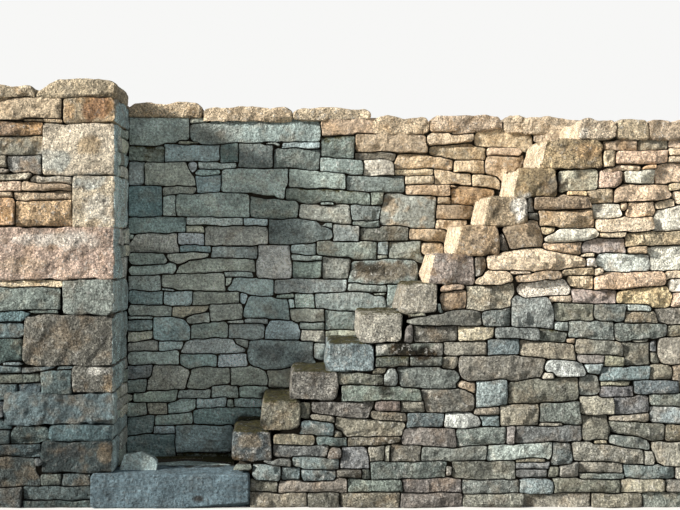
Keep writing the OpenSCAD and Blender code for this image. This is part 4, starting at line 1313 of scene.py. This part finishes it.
def on_landing(px, py):
    """Where the photograph's pixel meets the landing's top."""
    distance = FOCAL_PIXELS * (CAMERA_AT[2] - LANDING_HIGH.z) / (py - VANISHING_Y)
    return CAMERA_AT[0] + distance * (px - VANISHING_X) / FOCAL_PIXELS, CAMERA_AT[1] + distance


def shaded_below(rows, low_name, low_gain, high_gain=1.0):
    """Ground colour and gain by height: painted sunlight down to about the first of two rows of pixels, and
    below it painted shade that darkens down to the second.
    """
    top, foot = (FRONT.pixel(0, row)[1] for row in rows)

    def ground(spot):
        """Ground colour and gain of a spot."""
        share = min(max((spot[1] - foot) / (top - foot), 0), 1)
        return "sunny" if share > 0.8 else low_name, low_gain + (high_gain - low_gain) * share

    return ground


def front_left_stones():
    """The front stones left of the corner."""
    cells = photo_cells(FRONT, LEFT_FACE) + node_cells(FRONT, QUOINS + ["threshold_slab"], 0)
    cells = extended(cells, PHOTO_LEFT, LEFT_LOW.x)
    limits = (LEFT_LOW.x, 0.0, CORNER_X, LEFT_HIGH.z)
    heap = Heap()
    # Painted sunlight on the upper courses, painted shade below, darker and bluer towards the foot.
    ground = shaded_below(LEFT_SHADE_ROWS, "foot_shade", 0.47, 0.85)
    lay(heap, FRONT, cells, limits, grain=0.6, rough=0.021, ground=ground)
    return heap


def front_right_stones():
    """The front stones under and right of the steps, and a foot course that isn't in the photograph."""
    cells = photo_cells(FRONT, FRONT_FACE) + node_cells(FRONT, STEPS + ["threshold_slab", "top_step"], 0)
    cells = extended(cells, PHOTO_RIGHT, RIGHT_HIGH.x)
    foot_high = 0.19
    cells += coursed_cells(SLAB_HIGH.x, RIGHT_HIGH.x, 0.0, foot_high, (0.08, 0.11), (0.2, 0.5))
    limits = (STEP_LOW.x, 0.0, RIGHT_HIGH.x, RIGHT_HIGH.z)
    heap = Heap()
    # Painted sunlight on the upper courses, painted shade below, darker towards the foot.
    foot_shade = shaded_below(RIGHT_SHADE_ROWS, "grey_shade", 0.94)
    under_steps = FRONT.pixel(UNDER_STEPS_COLUMN, VANISHING_Y)[0]
    sunlit_u, sunlit_v = FRONT.pixel(*SUNLIT_CORNER)

    def ground(spot):
        """The ground above, with more painted shade under the steps and painted sunlight at the upper right
        end.
        """
        name, gain = foot_shade(spot)
        if spot[0] > sunlit_u and spot[1] > sunlit_v:
            gain *= 1.3
        return name, gain * (0.78 if spot[0] < under_steps else 1.0)

    lay(heap, FRONT, cells, limits, grain=0.55, rough=0.023, ground=ground)
    return heap


def past_line(spot, line):
    """How far a spot of the back wall lies right of a line between two pixels."""
    (high_u, high_v), (low_u, low_v) = (BEHIND.pixel(*end) for end in line)
    return spot[0] - high_u - (high_v - spot[1]) * (low_u - high_u) / (high_v - low_v)


def back_ground(spot):
    """Painted sunlight on the upper right, right of the sunlit line; elsewhere painted shade. The stones left
    of the light line, in the lamp's shadow from the left wall, are painted palest to make up for it.
    """
    top_right_u, top_v = BEHIND.pixel(*BACK_TOP_RIGHT)
    upper_right_u, upper_v = BEHIND.pixel(*BACK_UPPER_RIGHT)
    foot_v = BEHIND.pixel(0, BACK_FOOT_ROW)[1]
    # Painted sunlight, dimmed near the top to the left of the upper right.
    if past_line(spot, SUNLIT_LINE) > 0:
        return "sunny", 0.56 if spot[0] < top_right_u and spot[1] > top_v else 0.8
    blend = 0.35
    lit = min(max(past_line(spot, LIGHT_LINE) / blend + 0.5, 0), 1)
    # Top rows: painted paler in the lamp's shadow, darker where its sun reaches.
    if spot[1] > top_v:
        return "shady", 1.9 - 0.8 * min(lit / 0.4, 1)
    # Other rows: painted palest in the lamp's shadow, darker where its sun reaches, and darker still at the
    # foot.
    palest = 2.05
    least = 1.15 if spot[1] < upper_v else 1.4 if spot[0] < upper_right_u else 0.87
    return "shady", (palest + (least - palest) * lit) * (0.78 if spot[1] < foot_v else 1)


def back_stones():
    """The stones behind the flight and in the recess."""
    cells = photo_cells(BEHIND, BACK_FACE)
    limits = (CORNER_X, RECESS_FOOT, BACK_HIGH.x, BACK_HIGH.z)
    heap = Heap()
    lay(heap, BEHIND, cells, limits, grain=0.15, rough=0.016, joint=BACK_JOINT, ground=back_ground)
    return heap


def return_stones(heap):
    """The stones between the quoins on the face that turns into the recess."""
    cells = node_cells(RETURN, QUOINS, 1)
    for name in QUOINS:
        low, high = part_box(name)
        end = BACK_Y + BATTER * high.z + 0.03
        if end - high.y > 0.06:
            cells += coursed_cells(high.y, end, low.z, high.z, (0.09, 0.16), (0.14, 0.34))
    limits = (FRONT_Y, RECESS_FOOT, BACK_Y + 0.2, LEFT_HIGH.z)
    lay(heap, RETURN, cells, limits, grain=0.5, rough=0.010, ground=("shady", 1.8))


def hidden_side(heap, face, low_u, high_u, high_v, leaning=False):
    """Plain courses over a side out of view. Those of a leaning one end behind the front's stones."""
    cells = coursed_cells(low_u, high_u, 0.0, high_v, (0.10, 0.2), (0.22, 0.55))
    if leaning:
        side = face.along[1]
        for number, cell in enumerate(cells):
            behind = (FRONT_Y + CORNER_OVERLAP + BATTER * cell.corners[:, 1]) * side
            trimmed = np.maximum(cell.corners[:, 0] * side, behind * side) * side
            cells[number] = Cell(np.column_stack([trimmed, cell.corners[:, 1]]), cell.tone)
    lay(heap, face, cells, (low_u, 0.0, high_u, high_v), grain=0.5, rough=0.012, spacing=COARSE_GRID)


def build_hidden_sides():
    """One piece of plain stones for each wall."""
    lap = CORNER_OVERLAP
    sides = {
        "left_wall": (
            (LEFT_END, -LEFT_HIGH.y + lap, -FRONT_Y - lap, LEFT_HIGH.z, True),
            (LEFT_REAR, -BACK_LOW.x, -LEFT_LOW.x, LEFT_HIGH.z),
        ),
        "right_wall": (
            (RIGHT_END, FRONT_Y + lap, RIGHT_HIGH.y - lap, RIGHT_HIGH.z, True),
            (RIGHT_REAR, -RIGHT_HIGH.x, -BACK_HIGH.x, RIGHT_HIGH.z),
        ),
        "back_wall": (
            (BACK_REAR, -BACK_HIGH.x, -BACK_LOW.x, BACK_HIGH.z),
            (TAIL_END, -BACK_HIGH.y + lap, -LEFT_HIGH.y, BACK_HIGH.z),
            (FLIGHT_END, RIGHT_HIGH.y, BACK_HIGH.y - lap, RIGHT_HIGH.z),
        ),
    }
    for wall, faces in sides.items():
        heap = Heap()
        for side in faces:
            hidden_side(heap, *side)
        heap.build(wall + "_hidden_stones", WALL_SLOTS[wall], [wall])


def build_walls():
    """The walls' face stones that the photograph shows, and the hearting behind all face stones."""
    left = front_left_stones()
    return_stones(left)
    left.build("left_wall_stones", "warm_masonry", ["left_wall"], True)
    front_right_stones().build("front_wall_stones", "warm_masonry", ["right_wall", "stair_base"], True)
    back_stones().build("back_wall_stones", "grey_masonry", ["back_wall"], True)
    for wall, slot in WALL_SLOTS.items():
        hearting(wall, CORE_INSET)


def build_quoins():
    """The corner stones from the foot up, with their tones, ground colours, gains and roughness. The low
    ones' ground colours are painted shade, and their low gains are partly dark stone, partly painted shade.
    """
    looks = [
        ("sage", "foot_shade", 0.19, 0.012), ("teal", "foot_shade", 0.65, 0.01), ("ice", "foot_shade", 0.5, 0.018),
        ("pink", "grey_shade", 0.52, 0.012), ("warm", "grey_shade", 0.6, 0.016), ("grey", "grey_shade", 0.85, 0.012),
        ("lilac", "block", 0.9, 0.020), ("chalk", "block", 0.67, 0.012), ("chalk", "block", 0.86, 0.013),
        ("beige", "block", 0.85, 0.016),
    ]
    for name, (tone, ground, gain, rough) in zip(QUOINS, looks):
        # Painted shade on each quoin's side towards the return, paler on quoin 8, where sunlight falls.
        side = (1, "ice", "shady", 2.2) if name == "quoin_8" else (1, "blue", "shady", 1.8)
        grain = 0.25 if ground == "foot_shade" else 0.7
        hewn_block(name, "quoin_stone", tone, grain, rough, ground=ground, gain=gain, side=side)


def build_steps():
    """The block steps from the foot up. The low ones are mossy and lie in painted shade, the others have a
    left end painted paler as painted sunlight.
    """
    looks = [
        ("blue", 0.42), ("tan", 0.57), ("pink", 0.72), ("blue", 0.95), ("cream", 0.8), ("beige", 0.92),
        ("mauve", 0.9), ("beige", 0.78), ("beige", 0.8), ("tan", 0.8), ("tan", 0.88),
    ]
    # Low steps: a painted shade ground. High steps: a left end painted paler, as painted sunlight.
    low = {"rough": 0.014, "moss": 0.35, "ground": "grey_shade"}
    high = {"rough": 0.021, "side": (-1, "cream", "block", 1.25)}
    for number, (name, (tone, gain)) in enumerate(zip(STEPS, looks)):
        taper = 0.015 if number < 5 else 0.05
        kind = low if number < 6 else high
        hewn_block(name, "step_stone", tone, gain=gain, chips=0.018, taper=taper, **kind)


def build_slab_and_copings():
    """The threshold slab, the top step and the coping stones."""
    # The slab's dark blue-grey is partly its own colour, partly painted shade.
    slab = {"grain": 0.0, "rough": 0.005, "chips": 0.012, "gain": 0.92, "rust": 0.05, "dark": 0.1}
    hewn_block("threshold_slab", "slab_stone", "foam", ground="bare", **slab)
    # The top step's left end is painted paler, as painted sunlight.
    hewn_block("top_step", "coping_stone", "cream", gain=0.85, side=(-1, "cream", "block", 1.2))
    for name in sorted(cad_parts):
        if "coping" in name:
            rough, gain = (0.014, 0.77) if name == "left_coping_1" else (0.017, 0.9)
            hewn_block(name, "coping_stone", "cream", rough=rough, gain=gain)


def build_landing():
    """Flat stones of the landing around the slab's apron, and the loose stone on the slab."""
    hearting("landing", inset=0.01)
    heap = Heap()
    ends = (LANDING_LOW.x, LANDING_LOW.y, LANDING_HIGH.x, LANDING_HIGH.y)
    tones = ["green", "grey", "moss", "warm"]
    cells = coursed_cells(ends[0], ends[2], ends[1], ends[3], (0.15, 0.24), tones=tones)
    apron = Cell(hull([on_landing(px, py) for px, py in APRON_PIXELS]), "ice")
    lay(heap, LANDING_TOP, [apron], ends, grain=0.1, rough=0.004, ground=("shady", 1.3))
    apron.fixed = True
    cells.append(apron)
    lay(heap, LANDING_TOP, cells, ends, grain=0.5, rough=0.008, moss=0.85, ground=("sunny", 1.0))
    set_back = 0.1
    resting = Face((0, FRONT_Y + set_back, 0), (1, 0, 0), BATTER)
    loose = photo_cells(resting, [LOOSE_STONE])
    lay(heap, resting, loose, None, grain=0.3, rough=0.010, ground=("shady", 1.7))
    heap.build("landing_stones", "landing_stone", ["landing"])


def build_floor():
    """A pale floor that looks paler to the camera than it shines on the wall."""
    mesh = bpy.data.meshes.new("floor")
    reach = 40
    corners = [(-reach, -reach, 0), (reach, -reach, 0), (reach, reach, 0), (-reach, reach, 0)]
    mesh.from_pydata(corners, [], [(0, 1, 2, 3)])
    floor = bpy.data.objects.new("floor", mesh)
    bpy.context.scene.collection.objects.link(floor)
    material = bpy.data.materials.new("floor")
    material.use_nodes = True
    tree = material.node_tree
    make = node_maker(tree)
    rays = make("ShaderNodeLightPath").outputs
    tone = make("ShaderNodeMix", {"data_type": "RGBA"}, {
        0: rays["Is Camera Ray"], 6: (0.36, 0.36, 0.34, 1), 7: (0.80, 0.79, 0.77, 1)})
    shader = tree.nodes["Principled BSDF"]
    tree.links.new(tone.outputs[2], shader.inputs["Base Color"])
    shader.inputs["Roughness"].default_value = 0.9
    mesh.materials.append(material)


def build_surround():
    """A soft light from all around, with a pale backdrop for the camera."""
    world = bpy.data.worlds.new("studio")
    bpy.context.scene.world = world
    world.use_nodes = True
    world.node_tree.nodes.clear()
    make = node_maker(world.node_tree)
    soft = make("ShaderNodeBackground", inputs={"Color": (0.93, 0.97, 1.0, 1), "Strength": 0.42})
    seen = make("ShaderNodeBackground", inputs={"Color": (0.93, 0.93, 0.92, 1), "Strength": 1.0})
    rays = make("ShaderNodeLightPath").outputs
    choice = make("ShaderNodeMixShader", inputs={
        0: rays["Is Camera Ray"], 1: soft.outputs[0], 2: seen.outputs[0]})
    make("ShaderNodeOutputWorld", inputs={"Surface": choice.outputs[0]})


def build_lamp(light, place, power, colour):
    """A lamp that looks at the wall's middle."""
    aim = np.array([0.0, 0.0, 1.3])
    light.energy = power
    light.color = colour
    lamp = bpy.data.objects.new(light.name, light)
    lamp.location = place
    away = aim - np.array(place)
    tip = math.atan2(math.hypot(away[0], away[1]), -away[2])
    lamp.rotation_euler = (tip, 0, math.atan2(-away[0], away[1]))
    bpy.context.scene.collection.objects.link(lamp)


def build_lamps():
    """A low sun from the left and a weak wide lamp from the right."""
    sun = bpy.data.lights.new("key", "SUN")
    sun.angle = math.radians(7)
    build_lamp(sun, place=(-9.4, -4.0, 5.4), power=8.0, colour=(1.0, 0.96, 0.90))
    fill = bpy.data.lights.new("fill", "AREA")
    fill.size = 6
    build_lamp(fill, place=(6.0, -8.0, 5.0), power=90, colour=(0.94, 0.97, 1.0))


def build_camera():
    """The photograph's view: a level camera whose picture is shifted to its vanishing point."""
    camera_data = bpy.data.cameras.new("view")
    camera_data.sensor_width = SENSOR_WIDTH
    camera_data.lens = FOCAL_PIXELS * SENSOR_WIDTH / IMAGE_WIDTH
    camera_data.shift_x = (IMAGE_WIDTH / 2 - VANISHING_X) / IMAGE_WIDTH
    camera_data.shift_y = -(IMAGE_HEIGHT / 2 - VANISHING_Y) / IMAGE_WIDTH
    camera = bpy.data.objects.new("view", camera_data)
    camera.location = CAMERA_AT
    camera.rotation_euler = (math.pi / 2, 0, 0)
    bpy.context.scene.collection.objects.link(camera)
    bpy.context.scene.camera = camera
    bpy.context.scene.view_settings.view_transform = "Standard"


build_floor()
build_surround()
build_lamps()
build_camera()
build_walls()
build_hidden_sides()
build_quoins()
build_steps()
build_slab_and_copings()
build_landing()

bpy.context.view_layer.update()
